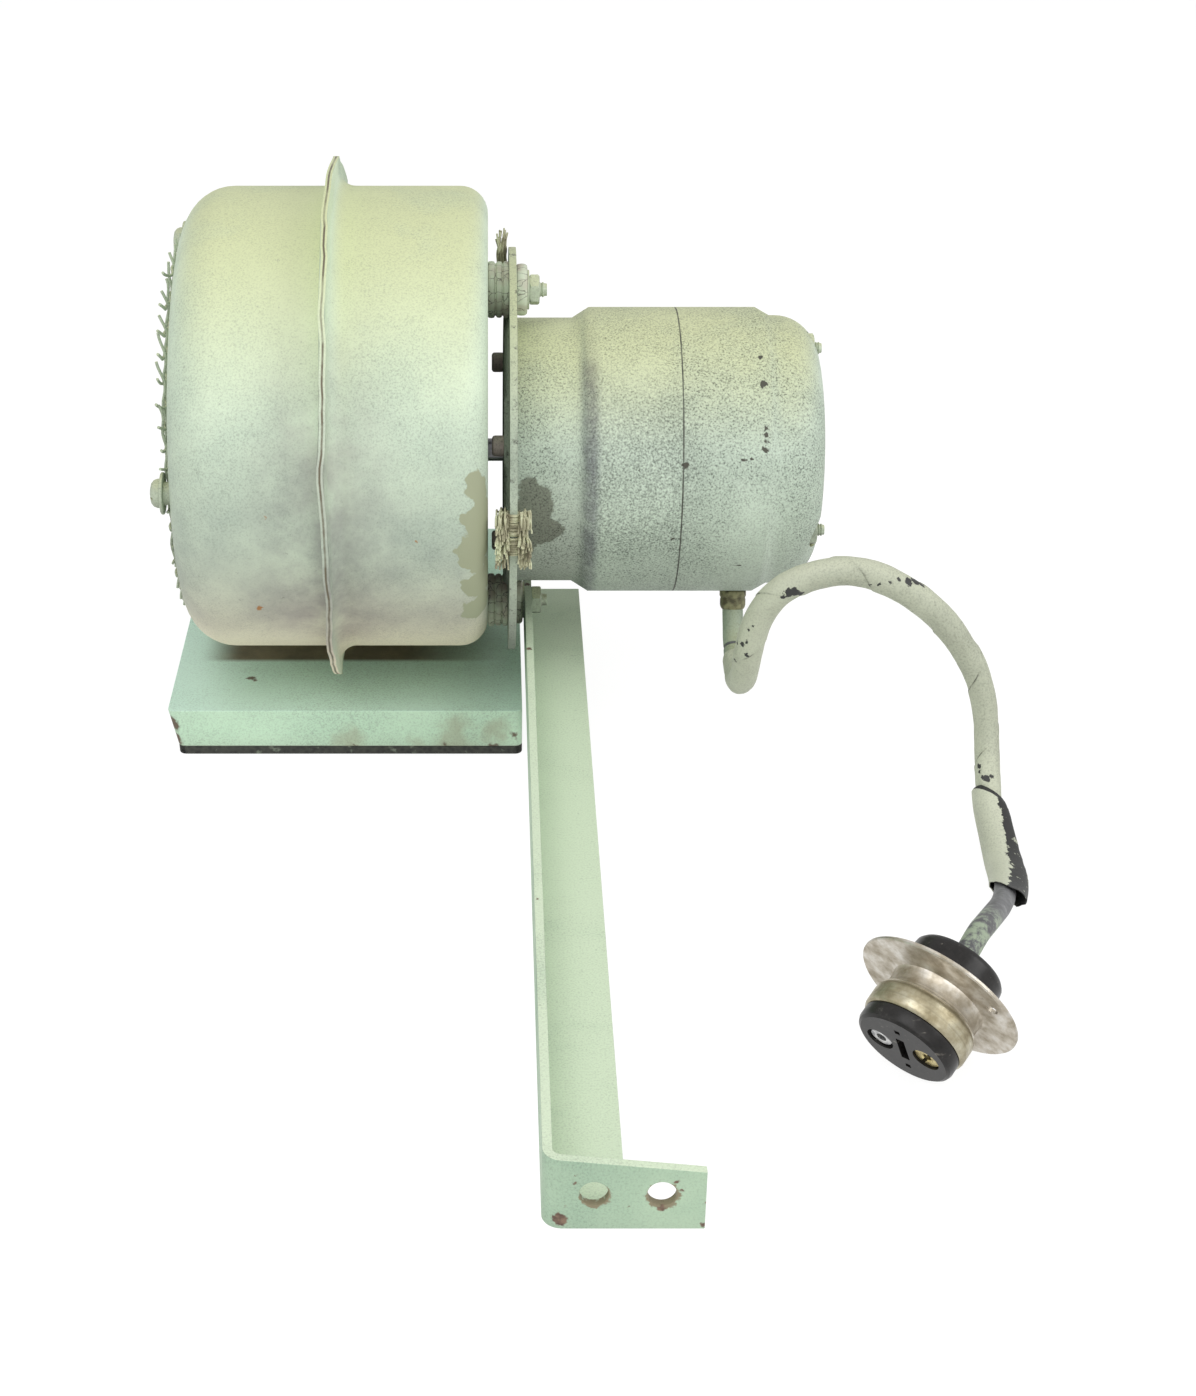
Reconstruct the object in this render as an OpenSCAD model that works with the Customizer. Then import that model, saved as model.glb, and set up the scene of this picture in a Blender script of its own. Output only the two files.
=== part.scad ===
// Centrifugal blower with a flange-mounted electric motor.
// A pressed two-half scroll housing stands on an inverted tray, through which it blows down.
// The motor hangs from a round plate on two rubber-bushed studs, and an angle bracket runs
// from the lower stud to a bolt-on foot. A taped supply cord ends in a round panel connector.
// Millimetres. X runs along the shaft towards the motor, Y away from the foot, Z up.
// The origin is on the base seat, under the shaft axis, in the middle plane of the motor plate.

/* [Housing] */
// Width of the scroll housing along the shaft
housing_w = 125; // [115:1:140]
// Width of the inlet-side half, up to the seam
inlet_half_w = 62; // [50:1:75]
// Thickness of the housing sheet
sheet_t = 1.2; // [0.8:0.1:2]
// Height of the shaft axis above the base seat
shaft_h = 119; // [116:1:140]
// Scroll radius straight below the shaft
scroll_r = 78.6; // [77:0.2:86]
// Growth of the scroll radius in each quarter turn
scroll_step = 14; // [10:0.5:16]
// Corner radius of the inlet-side half
inlet_corner_r = 20; // [8:0.5:22]
// Corner radius of the motor-side half
motor_corner_r = 11.5; // [6:0.5:12]
// How far the seam flange stands proud of the wall
seam_flange_w = 12; // [8:0.5:14]
// Radius of the flare from the motor half's wall into its seam flange
seam_flare_r = 7; // [2:0.5:7]
// Distance behind the shaft at which the outlet duct starts
outlet_front = 35; // [30:1:40]
// Radius of the shaft opening in the motor-side half
shaft_opening_r = 20; // [15:1:30]

/* [Inlet] */
// Radius of the inlet eye
eye_r = 56; // [52:0.5:60]
// Throat radius of the inlet ring
throat_r = 50; // [46:0.5:51]
// Depth of the inlet ring inside the housing
ring_depth = 14; // [10:0.5:16]
// Width of the inlet ring's seat on the housing
ring_seat_w = 6; // [4:0.5:8]
// Wire size of the inlet guard
wire_t = 1.2; // [0.8:0.1:1.6]
// Spacing of the guard wires
wire_pitch = 8; // [7:0.5:12]
// Outer radius of the inlet guard
guard_r = 80; // [76:0.5:82]
// Height of the guard's dome
guard_dome_h = 8; // [5:0.5:14]
// Shift of the guard's centre behind and above the shaft, towards the middle of the face
guard_shift = 9; // [6:0.5:10]
// Radius of the circle of guard screws
guard_screw_circle_r = 77; // [75:0.5:78]
// Radius of a guard screw's shank
guard_screw_r = 2; // [1.5:0.1:2.5]
// Radius of a guard screw's head
guard_head_r = 5.8; // [4:0.1:6]
// Radius of a guard washer
guard_washer_r = 8.4; // [6.5:0.1:8.5]

/* [Base pan] */
// Height of the pan's top above the base seat
pan_h = 20.8; // [16:0.2:24]
// Margin of the pan beyond the housing's inlet face
pan_side_margin = 9.5; // [4:0.5:12]
// Distance from the plate's middle plane to the pan's motor-side edge
pan_motor_edge = 4.5; // [3:0.1:5]
// Distance from the shaft to the pan's front edge
pan_front = 50; // [40:1:70]
// Distance from the shaft to the pan's back edge
pan_back = 140; // [136:1:150]
// Corner radius of the pan
pan_corner_r = 3; // [2:0.5:8]
// Thickness of the base gasket
gasket_t = 3.8; // [2:0.1:6]
// Width of the base gasket and of the pan's return flange
gasket_w = 10; // [7:0.5:12]

/* [Impeller] */
// Outer radius of the impeller
wheel_r = 65; // [60:0.5:66]
// Radial depth of a blade
blade_depth = 12; // [8:0.5:12.5]
// Gap between the inlet ring and the impeller
wheel_inlet_gap = 5.2; // [4:0.1:12]
// Number of blades
blade_count = 32; // [20:1:40]
// Thickness of a blade
blade_t = 0.9; // [0.6:0.1:1.2]
// Angle through which a blade sweeps forward
blade_sweep = 10; // [4:1:16]
// Gap between the impeller and the motor-side half
wheel_gap = 13; // [10:0.5:16]
// Outer radius of the impeller hub
hub_r = 13; // [11:0.5:18]
// Radius of the hub's flange
hub_flange_r = 24; // [20:0.5:30]
// Length of the impeller hub
hub_l = 20; // [16:0.5:30]

/* [Motor] */
// Diameter of the motor shaft
shaft_d = 9.5; // [8:0.1:12]
// Radius of the motor beside the plate
motor_neck_r = 55; // [52:0.2:55.6]
// Length of that narrower part
motor_neck_l = 25.6; // [20:0.2:26]
// Largest radius of the motor
motor_r = 59.4; // [58:0.2:62]
// Radius of the motor's tail
motor_tail_r = 56; // [54:0.2:57.5]
// Length of the front frame, up to the seam
front_frame_l = 68.3; // [64:0.1:75]
// Length of the rear frame
rear_frame_l = 58.8; // [58:0.1:66]
// Length of the rear frame's full-diameter part
rear_body_l = 33.3; // [31:0.1:34]
// Corner radius of the motor's tail
tail_corner_r = 17; // [10:0.5:18]
// Wall of the motor frames
frame_wall = 3; // [2:0.1:3.5]
// Length of the stator and rotor cores
core_l = 54; // [40:1:56]
// Radius of the rotor core
rotor_r = 30.6; // [28:0.1:31]
// Radius of the circle of through bolts and plate screws
bolt_circle_r = 44; // [43.5:0.1:44.5]
// Turn of the first through bolt from the back
bolt_turn = 86; // [75:1:95]
// Turn of the first plate screw from the back
plate_screw_turn = 36; // [30:1:42]
// Radius of a through bolt and of a plate screw
bolt_r = 2.6; // [2:0.1:2.8]

/* [Motor mounting] */
// Radius of the motor plate
plate_r = 84; // [82:0.5:90]
// Thickness of the motor plate
plate_t = 3; // [2:0.1:4]
// Depth of the dish in the plate
dish_depth = 2.1; // [1:0.1:2.5]
// Gap between the plate's dish and the rubber bushes
isolator_gap = 0.9; // [0.5:0.1:2]
// Length of the inner rubber bushes
bush_l = 8.5; // [8:0.1:12]
// Radius of the inner rubber bushes
bush_r = 11.5; // [9:0.1:11.5]
// Length of the upper outer rubber
upper_rubber_l = 4.5; // [3:0.1:6]
// Length of the lower outer rubber
lower_rubber_l = 3.5; // [3:0.1:5]
// Radius of the outer rubbers
rubber_r = 10.5; // [9:0.1:11]
// Radius of the studs
stud_r = 3.175; // [2.5:0.025:4]
// Thickness of the stud washers
washer_t = 0.8; // [0.6:0.1:1.2]
// Thickness of the stud nuts
nut_h = 4.2; // [3:0.1:6]
// Width across the flats of the stud nuts
nut_af = 11.1; // [10:0.1:13]

/* [Support bracket] */
// Leg width of the angle
angle_w = 25.4; // [23:0.1:27]
// Thickness of the angle
angle_t = 3; // [2:0.1:4]
// Height of the stud hole above the bracket's underside
bracket_hole_h = 19; // [17:0.1:20]
// Distance from the shaft to the front of the foot
bracket_reach = 390; // [300:1:450]
// How far the bracket runs on behind the shaft
bracket_back = 45; // [20:1:60]
// Width of the foot from the bracket's side
foot_w = 48.2; // [44:0.2:60]
// Height of the foot at its free end
foot_end_h = 21; // [19:0.2:25]
// Inner radius of the bend to the foot
bend_r = 3; // [2:0.5:5]
// Distance from the bracket's side to the first foot hole
foot_hole_x = 15.2; // [13:0.1:17]
// Spacing of the foot holes
foot_hole_spacing = 20; // [16:0.1:24]
// Height of the foot holes above the bracket's underside
foot_hole_h = 13; // [10:0.1:14]
// Radius of the foot holes
foot_hole_r = 4.35; // [3:0.05:5]

/* [Cord and connector] */
// Place of the cable gland along the shaft
gland_x = 94; // [92:0.5:96]
// Lean of the gland from straight down towards the front
gland_lean = 20; // [10:1:25]
// Length of the gland outside the motor
gland_l = 8; // [6:0.5:12]
// Radius of the gland's collar
gland_r = 5.6; // [5:0.1:8]
// Diameter of the bare cable
cable_d = 8.4; // [7:0.1:9]
// Diameter of the cable with its tape wrap
taped_d = 12.2; // [10:0.1:13.5]
// Radius of the connector's flange
connector_flange_r = 30; // [27:0.5:33]
// Radius of the connector's insert at its nose
connector_nose_r = 18.2; // [16:0.1:18.5]
// Distance from the flange to the connector's nose
connector_nose_l = 23; // [21:0.5:28]
// Radius of the shell's rolled front
connector_bead_r = 19.2; // [18.8:0.1:20]
// Radius of the connector's back cap
connector_cap_r = 17; // [14:0.1:18]
// Length of the connector's back cap
connector_cap_l = 13.5; // [10:0.5:16]
// Radius of the circle of screw holes in the connector's flange
connector_hole_circle_r = 24; // [22:0.5:25]
// Radius of those screw holes
connector_hole_r = 2.1; // [1.5:0.1:2.5]
// Radius of a contact in the insert
contact_r = 5; // [4:0.1:5.5]

/* [Hidden] */
$fn = 96;

// Clearances shared by all fits
fit_gap = 0.1;
running_gap = 0.05;
air_gap = 0.4;
soft_gap = 0.15;

// Stations along the shaft
plate_x0 = -plate_t / 2;
plate_x1 = plate_t / 2;
housing_x1 = plate_x0 - bush_l;
housing_x0 = housing_x1 - housing_w;
motor_half_w = housing_w - inlet_half_w;
motor_x0 = plate_x1 - dish_depth;
dish_x0 = plate_x0 - dish_depth;
motor_seam_x = motor_x0 + front_frame_l;
motor_end_x = motor_seam_x + rear_frame_l;
core_x0 = motor_seam_x - core_l / 2;
core_x1 = motor_seam_x + core_l / 2;

// Scroll: quarter arcs whose centres are the corners of a square around the shaft
scroll_h = scroll_step / 2;
scroll_centres = [
    [-scroll_h, -scroll_h], [-scroll_h, scroll_h], [scroll_h, scroll_h], [scroll_h, -scroll_h]
];
scroll_starts = [0, 270, 180, 90];
function quarter_r(i) = scroll_r + scroll_h + (i - 1) * scroll_step;
outlet_back = scroll_h + quarter_r(3);
tongue_y = outlet_front + sheet_t / 2;
tongue_angle = asin((tongue_y + scroll_h) / quarter_r(0));
tongue_flange_angle = asin((outlet_front - sheet_t + scroll_h) / (quarter_r(0) + seam_flange_w));
tongue_z = shaft_h - scroll_h - quarter_r(0) * cos(tongue_angle) + sheet_t / 2;
tongue_web_angle = 1;
seat_gap_angle = 80;

// Guard and its screws
guard_centre = [guard_shift, shaft_h + guard_shift];
guard_sphere_r = (guard_r * guard_r + guard_dome_h * guard_dome_h) / (2 * guard_dome_h);
guard_sphere_x = housing_x0 - guard_dome_h + guard_sphere_r;
guard_weave_gap = 0.3;
guard_screw_turn = 60;
guard_washer_t = 1.2;
guard_head_h = 4.3;
guard_spacer_r = 4.6;
guard_mesh_t = 2 * wire_t + guard_weave_gap;
guard_washer_x = housing_x0 - guard_mesh_t - guard_washer_t;
guard_head_round_r = 1.5;
guard_screw_l = 8;

// Base pan
pan_x0 = housing_x0 - pan_side_margin;
pan_size = [pan_motor_edge - pan_x0, pan_front + pan_back];
pan_origin = [pan_x0, -pan_front];

// Impeller
backplate_t = 1.2;
wheel_x1 = housing_x1 - sheet_t - wheel_gap;
blade_x1 = wheel_x1 - backplate_t;
front_ring_t = 1.2;
blade_x0 = housing_x0 + sheet_t + ring_depth + wheel_inlet_gap + front_ring_t;
blade_l = blade_x1 - blade_x0;
hub_flange_t = 3;
hub_x0 = blade_x1 - hub_l;
setscrew_r = 2.5;
setscrew_x = hub_x0 + (hub_l - hub_flange_t) / 2;
setscrew_proud = 0.6;

// Motor
shaft_r = shaft_d / 2;
shaft_proud = 1;
bearing_r = 13;
bearing_w = 9;
boss_r = bearing_r + frame_wall;
neck_step_l = 7;
tail_step_l = 6;
neck_end_x = motor_x0 + motor_neck_l;
body_start_x = neck_end_x + neck_step_l;
body_end_x = motor_seam_x + rear_body_l;
tail_start_x = body_end_x + tail_step_l;
tail_corner = [motor_tail_r - tail_corner_r, motor_end_x - tail_corner_r];
rear_bearing_x = motor_end_x - frame_wall - bearing_w;
shaft_x0 = hub_x0 - shaft_proud;
shaft_x1 = motor_end_x - frame_wall - fit_gap;
end_ring_l = 5;
end_ring_margin = 3;
end_ring_r = [14, rotor_r - end_ring_margin];
winding_l = 12;
winding_gap = 1;
winding_r = [rotor_r + winding_gap, bolt_circle_r - bolt_r - winding_gap];
plate_screw_head_r = 4.2;
plate_screw_head_h = 4.8;
bolt_nut_af = 11.1;
bolt_nut_h = 4.8;
bolt_end = 3.3;
plate_screw_end = 2;
spotface_r = 7;
spotface_depth = 6.7;
spotface_x = motor_end_x - spotface_depth;
spotface_floor = 4;

// Studs
stud_proud = [3, 2.5];
stud_ends = [
    plate_x1 + upper_rubber_l + washer_t + nut_h + stud_proud[0],
    plate_x1 + lower_rubber_l + washer_t + angle_t + nut_h + stud_proud[1]
];
stud_sides = [1, -1];
rubber_ls = [upper_rubber_l, lower_rubber_l];
stud_washer_r = 8;
plate_shaft_hole_r = 9;
dish_r = motor_neck_r + fit_gap;
plate_dish_slope = 2.5;
isolator_r = dish_r + plate_dish_slope + bush_r + isolator_gap;

// Bracket
bracket_x0 = plate_x1 + lower_rubber_l + washer_t;
bracket_z = shaft_h - isolator_r - bracket_hole_h;
foot_y = -bracket_reach;
bend_outer_r = bend_r + angle_t;

// Bonding braids
braid_t = 6;
braid_w = 22;
braid_depth = 18;
braid_drop = 2;
braid_overhang = 4;
braid_stub = [12, 19];
braid_stub_y = 14;

// Gland
gland_neck_r = 4;
gland_dir = [0, -sin(gland_lean), -cos(gland_lean)];
gland_end = [gland_x, 0, shaft_h] + (motor_r + gland_l) * gland_dir;

// Connector, resting on its flange and its nose
connector_flange_t = 1.5;
connector_tilt = atan((connector_flange_r - connector_nose_r) / connector_nose_l);
connector_heading = 41.5;
connector_at = [143.5, -267.3, connector_flange_r * cos(connector_tilt)];
connector_dir = [
    -sin(connector_heading) * cos(connector_tilt),
    -cos(connector_heading) * cos(connector_tilt),
    -sin(connector_tilt)
];
connector_back = connector_at - (connector_flange_t + connector_cap_l) * connector_dir;
insert_proud = 6;
shell_wall = 1.4;
shell_groove = 2.2;
shell_neck_r = connector_bead_r - shell_groove;
shell_in_r = shell_neck_r - shell_wall;
shell_neck_l = 8;
contact_depth = 7;
contact_sink = 0.8;
contact_side = 9;
contact_hole_r = 1.6;
contact_floor = 1;
key_slot = [3.2, 12, 3];
shell_fillet = 1;
bead_flatten = 0.8;
bead_step = 0.6;
cap_round_r = 2;
connector_hole_turns = [20, 200];

// Cord route from the gland to the connector, with its two changes of diameter
cord_points = [
    [94, -30, 46.5], [94, -38.5, 41.5], [94, -50, 39.5], [94, -61.5, 41.5], [94, -71, 47.5],
    [94.2, -78, 56], [94.8, -82, 66.5], [96.5, -84, 77.5], [100.5, -86, 88.2], [107.5, -88, 96.5],
    [117.5, -89, 102], [129, -90, 104.5], [141, -90, 102.5], [152.5, -90, 97], [163.5, -90, 89],
    [174, -90, 78], [182.5, -90, 65], [188, -91, 52], [190.5, -93, 40], [191, -97, 29.5],
    [191, -105, 20.5], [190.5, -116, 13.5], [190.5, -132, 8.5], [189.5, -148, 7], [188, -163, 8.5],
    [184, -181, 13], [178.5, -199, 20], [172, -216, 27], [166, -231, 33], [160, -244, 36.5]
];
tape_start = 2;
tape_end = 25;
cord_route = concat([gland_end], cord_points, [connector_back]);
cord_sides = 10;

// Geometry helpers
function unit(v) = v / norm(v);
function arc(centre, r, from, to, steps = 10) =
    [for (i = [0:steps]) let (a = from + (to - from) * i / steps) centre + r * [cos(a), sin(a)]];
// Whole microns, so that neighbouring sections meet exactly
function to_micron(points) = [for (p = points) [round(1000 * p.x) / 1000, round(1000 * p.y) / 1000]];

// A tangent for each point of the cord's route, true to the gland and the connector at its ends
cord_last = len(cord_route) - 1;
cord_tangents = [
    for (i = [0:cord_last])
        i == 0 ? gland_dir :
        i == cord_last ? connector_dir :
        unit(cord_route[i + 1] - cord_route[i - 1])
];
// Side directions carried along the route without twist
cord_sideways = [
    for (i = 0, u = [1, 0, 0]; i <= cord_last;
         i = i + 1, u = i <= cord_last ? unit(u - (u * cord_tangents[i]) * cord_tangents[i]) : u) u
];

// One tube along the route from point a to point b
module cord_tube(a, b, d) {
    rings = [
        for (i = [a:b], k = [0:cord_sides - 1])
            let (u = cord_sideways[i], v = cross(cord_tangents[i], u), t = 360 * k / cord_sides)
                cord_route[i] + d / 2 * (cos(t) * u + sin(t) * v)
    ];
    last = (b - a) * cord_sides;
    walls = [
        for (i = [0:b - a - 1], k = [0:cord_sides - 1])
            let (n = (k + 1) % cord_sides, p = i * cord_sides, q = p + cord_sides)
                each [[p + k, q + k, q + n], [p + k, q + n, p + n]]
    ];
    caps = [for (k = [1:cord_sides - 2]) each [[0, k, k + 1], [last, last + k + 1, last + k]]];
    polyhedron(points = rings, faces = concat(walls, caps));
}

// Turns what is drawn along Z to lie along the shaft, at a station x
module on_shaft(x = 0) {
    translate([x, 0, shaft_h]) rotate([0, 90, 0]) children();
}

// A ring along the shaft, from x0 to x1
module shaft_ring(x0, x1, r_out, r_in) {
    on_shaft(x0) difference() {
        cylinder(r = r_out, h = x1 - x0);
        translate([0, 0, -1]) cylinder(r = r_in, h = x1 - x0 + 2);
    }
}

// A ring on a stud: side is 1 for the upper stud, -1 for the lower one
module stud_ring(side, x0, x1, r_out) {
    translate([0, 0, side * isolator_r]) shaft_ring(x0, x1, r_out, stud_r + fit_gap);
}

// Copies along the shaft at each through bolt, or at each plate screw with their turn
module at_bolts(turn = bolt_turn) {
    for (i = [0:2])
        let (a = turn + 120 * i)
            translate([0, bolt_circle_r * cos(a), bolt_circle_r * sin(a)]) children();
}

// Copies along the shaft at each guard screw
module at_guard_screws() {
    for (i = [0:2])
        let (a = guard_screw_turn + 120 * i, at = guard_screw_circle_r * [cos(a), sin(a)])
            translate([0, guard_shift + at.x, guard_shift + at.y]) children();
}

module rounded_plate(origin, size, r, z0, z1) {
    translate([origin.x, origin.y, z0]) linear_extrude(z1 - z0) {
        translate([r, 0]) square([size.x - 2 * r, size.y]);
        translate([0, r]) square([size.x, size.y - 2 * r]);
        for (x = [r, size.x - r], y = [r, size.y - r]) translate([x, y]) circle(r);
    }
}

// A disc with its lower edge rounded
module rounded_disc(r, h, edge_r) {
    rotate_extrude() polygon(concat(
        [[0, 0]], arc([r - edge_r, edge_r], edge_r, -90, 0, 6), [[r, h], [0, h]]
    ));
}

// Section of a pressed half from radius r_from to its wall: face, rounded corner, wall and seam flange
module shell_section(r, depth, corner, r_from = 0, flange = seam_flange_w, flare = 0) {
    inner = corner - sheet_t;
    seat = depth - sheet_t;
    polygon(concat(
        [[r_from, 0]],
        to_micron(arc([r - corner, corner], corner, -90, 0)),
        flange == 0 ? [] : flare == 0 ? [[r, seat]]
            : to_micron(arc([r + flare, seat - flare], flare, 180, 90)),
        flange == 0 ? [] : [[r + flange, seat]],
        [[r + flange, depth], [r - sheet_t, depth]],
        to_micron(arc([r - corner, corner], inner, 0, -90)),
        [[r_from, sheet_t]]
    ));
}

module scroll_arc(i, turn) {
    translate([0, scroll_centres[i][0], shaft_h + scroll_centres[i][1]])
        rotate([0, 90, 0]) rotate([0, 0, scroll_starts[i]]) rotate_extrude(angle = turn) children();
}

// One pressed half, its face at X = 0 and its seam at X = depth
module half_shell(depth, corner, flare = 0) {
    r0 = quarter_r(0);
    web_at = tongue_angle - tongue_web_angle;
    web_sink = 0.6 * sheet_t;
    for (i = [1:3]) scroll_arc(i, 90) shell_section(quarter_r(i), depth, corner, flare = flare);
    scroll_arc(0, tongue_angle) shell_section(r0, depth, corner, flange = 0);
    scroll_arc(0, tongue_flange_angle)
        translate([r0 - sheet_t, depth - sheet_t]) square([seam_flange_w + sheet_t, sheet_t]);
    // Web that fills the outside of the rounded corner at the cut-off
    translate([0, scroll_centres[0][0], shaft_h + scroll_centres[0][1]])
        rotate([0, 90, 0]) rotate([0, 0, web_at - tongue_web_angle / 2])
            rotate_extrude(angle = tongue_web_angle) polygon(concat(
                [[r0 - corner - sheet_t, 0], [r0 - sheet_t / 2, 0], [r0 - sheet_t / 2, corner + sheet_t],
                 [r0 - web_sink, corner + sheet_t]],
                arc([r0 - corner, corner], corner - web_sink, 0, -90),
                [[r0 - corner - sheet_t, web_sink]]
            ));
    // Face between the arcs
    translate([sheet_t, 0, shaft_h]) rotate([0, -90, 0]) rotate([0, 0, 90]) mirror([0, 1, 0])
        linear_extrude(sheet_t) polygon([
            [-scroll_h, scroll_h], [scroll_h, scroll_h], [scroll_h, -scroll_h], [tongue_y, -scroll_h],
            [tongue_y, tongue_z - shaft_h],
            scroll_centres[0] + (r0 - sheet_t) * [sin(web_at), -cos(web_at)], scroll_centres[0]
        ]);
    // Outlet duct: its back and side walls, and its front wall below the cut-off
    translate([0, scroll_h, pan_h]) mirror([1, 0, 0]) rotate([0, 0, 90])
        linear_extrude(shaft_h - scroll_h - pan_h)
            shell_section(quarter_r(3), depth, corner, r_from = outlet_front - scroll_h, flare = flare);
    translate([0, outlet_front, pan_h]) cube([depth, sheet_t, tongue_z - pan_h]);
}

module housing_inlet_half() color("#b9cfae") difference() {
    translate([housing_x0, 0, 0]) half_shell(inlet_half_w, inlet_corner_r);
    on_shaft(housing_x0 - 1) cylinder(r = eye_r, h = sheet_t + 2);
    at_guard_screws() on_shaft(housing_x0 - 1) cylinder(r = guard_screw_r + fit_gap, h = sheet_t + 2);
}

module housing_motor_half() color("#b9cfae") difference() {
    translate([housing_x1, 0, 0]) mirror([1, 0, 0]) half_shell(motor_half_w, motor_corner_r, seam_flare_r);
    on_shaft(housing_x1 - sheet_t - 1) cylinder(r = shaft_opening_r, h = sheet_t + 2);
}

// Points of the bell mouth, from the housing's face to the throat
function bell_mouth(r, start, from, to, steps = 8) = [
    for (i = [0:steps])
        let (a = from + (to - from) * i / steps)
            [r + (eye_r - throat_r - sheet_t) * (1 - sin(a)), ring_depth - (ring_depth - start) * cos(a)]
];

// Bell-mouthed ring seated inside the inlet eye, its seat cut away below, where the housing's corner begins
module inlet_ring() color("#a9b8a4") on_shaft(housing_x0 + sheet_t) difference() {
    rotate_extrude() polygon(concat(
        [[eye_r + ring_seat_w, 0], [eye_r + ring_seat_w, sheet_t], [eye_r, sheet_t]],
        bell_mouth(throat_r + sheet_t, sheet_t, 0, 90),
        bell_mouth(throat_r, 0, 90, 0)
    ));
    rotate([0, 0, -seat_gap_angle / 2]) rotate_extrude(angle = seat_gap_angle)
        translate([eye_r - fit_gap, -1]) square([ring_seat_w + fit_gap + 1, sheet_t + 2]);
}

// One wire of the domed guard: an arc on a sphere, offset u from its middle and raised by lift
module guard_wire(u, lift) {
    half = sqrt(guard_r * guard_r - u * u);
    ring_r = sqrt(guard_sphere_r * guard_sphere_r - u * u);
    reach = asin(half / ring_r);
    translate([0, 0, u - wire_t / 2]) rotate([0, 0, 180 - reach]) rotate_extrude(angle = 2 * reach)
        translate([ring_r + lift, 0]) square(wire_t);
}

// Two layers of crossing wires, cleared for the screws' washers
module inlet_guard() color("#c4d2b8") difference() {
    rows = floor((guard_r - wire_t) / wire_pitch);
    translate([guard_sphere_x, guard_centre.x, guard_centre.y]) for (i = [-rows:rows]) {
        guard_wire(i * wire_pitch, 0);
        rotate([90, 0, 0]) guard_wire(i * wire_pitch, wire_t + guard_weave_gap);
    }
    at_guard_screws() on_shaft(housing_x0 - guard_dome_h)
        cylinder(r = guard_washer_r + guard_weave_gap, h = guard_dome_h + 1);
}

// Washers over the wires, each with the spacer that carries it
module guard_washers() color("#c4d2b8") at_guard_screws() {
    shaft_ring(guard_washer_x, guard_washer_x + guard_washer_t, guard_washer_r, guard_screw_r + fit_gap);
    shaft_ring(guard_washer_x + guard_washer_t / 2, housing_x0, guard_spacer_r, guard_screw_r + fit_gap);
}

module guard_screws() color("#c4d2b8") at_guard_screws() {
    on_shaft(guard_washer_x) cylinder(r = guard_screw_r, h = guard_screw_l);
    on_shaft(guard_washer_x - guard_head_h)
        rounded_disc(guard_head_r, guard_head_h, guard_head_round_r);
}

// Plan of the outlet duct's inside
module duct_plan() {
    inlet_in = inlet_corner_r - sheet_t;
    motor_in = motor_corner_r - sheet_t;
    back = outlet_back - sheet_t;
    polygon(concat(
        [[housing_x0 + sheet_t, outlet_front + sheet_t], [housing_x1 - sheet_t, outlet_front + sheet_t]],
        arc([housing_x1 - motor_corner_r, back - motor_in], motor_in, 0, 90),
        arc([housing_x0 + inlet_corner_r, back - inlet_in], inlet_in, 90, 180)
    ));
}

// Inverted tray with a return flange, open to the outlet duct
module base_pan() color("#a8c4ac") difference() {
    rim = [gasket_w, gasket_w];
    skin = [sheet_t, sheet_t];
    rounded_plate(pan_origin, pan_size, pan_corner_r, gasket_t, pan_h);
    rounded_plate(
        pan_origin + skin, pan_size - 2 * skin, pan_corner_r - sheet_t, gasket_t + sheet_t, pan_h - sheet_t
    );
    rounded_plate(pan_origin + rim, pan_size - 2 * rim, pan_corner_r, gasket_t - 1, gasket_t + sheet_t + 1);
    translate([0, 0, pan_h - sheet_t - 1]) linear_extrude(sheet_t + 2) duct_plan();
}

module base_gasket() color("#3c3f3d") difference() {
    rim = [gasket_w, gasket_w];
    rounded_plate(pan_origin, pan_size, pan_corner_r, 0, gasket_t);
    rounded_plate(pan_origin + rim, pan_size - 2 * rim, pan_corner_r, -1, gasket_t + 1);
}

module impeller_backplate() color("#9aa09a")
    shaft_ring(blade_x1, wheel_x1, wheel_r, shaft_r + fit_gap);

// Forward-curved blades between the backplate and the front ring
module impeller_blades() color("#9aa09a") for (i = [0:blade_count - 1])
    on_shaft(blade_x0) rotate([0, 0, 360 * i / blade_count]) linear_extrude(blade_l) {
        side = function (s, w)
            let (r = wheel_r - blade_depth * (1 - s), a = blade_sweep * s * s)
                [r * cos(a) - w * sin(a), r * sin(a) + w * cos(a)];
        polygon([for (s = [0:0.2:1]) side(s, -blade_t / 2), for (s = [1:-0.2:0]) side(s, blade_t / 2)]);
    }

module impeller_front_ring() color("#9aa09a")
    shaft_ring(blade_x0 - front_ring_t, blade_x0, wheel_r, wheel_r - blade_depth);

module impeller_hub() color("#8c918d") difference() {
    union() {
        on_shaft(hub_x0) cylinder(r = hub_r, h = hub_l);
        on_shaft(blade_x1 - hub_flange_t) cylinder(r = hub_flange_r, h = hub_flange_t);
    }
    on_shaft(hub_x0 - 1) cylinder(r = shaft_r + fit_gap, h = hub_l + 2);
    translate([setscrew_x, 0, shaft_h]) cylinder(r = setscrew_r + fit_gap, h = hub_r + 1);
}

module hub_setscrew() color("#5f6360") translate([setscrew_x, 0, shaft_h + shaft_r + fit_gap])
    cylinder(r = setscrew_r, h = hub_r + setscrew_proud - shaft_r);

module motor_shaft() color("#b4b8b6") on_shaft(shaft_x0) cylinder(r = shaft_r, h = shaft_x1 - shaft_x0);

module rotor_core() color("#8f9492") shaft_ring(core_x0, core_x1, rotor_r, shaft_r + fit_gap);

module rotor_end_rings() color("#b9bcb9") {
    shaft_ring(core_x0 - end_ring_l, core_x0, end_ring_r[1], end_ring_r[0]);
    shaft_ring(core_x1, core_x1 + end_ring_l, end_ring_r[1], end_ring_r[0]);
}

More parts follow.
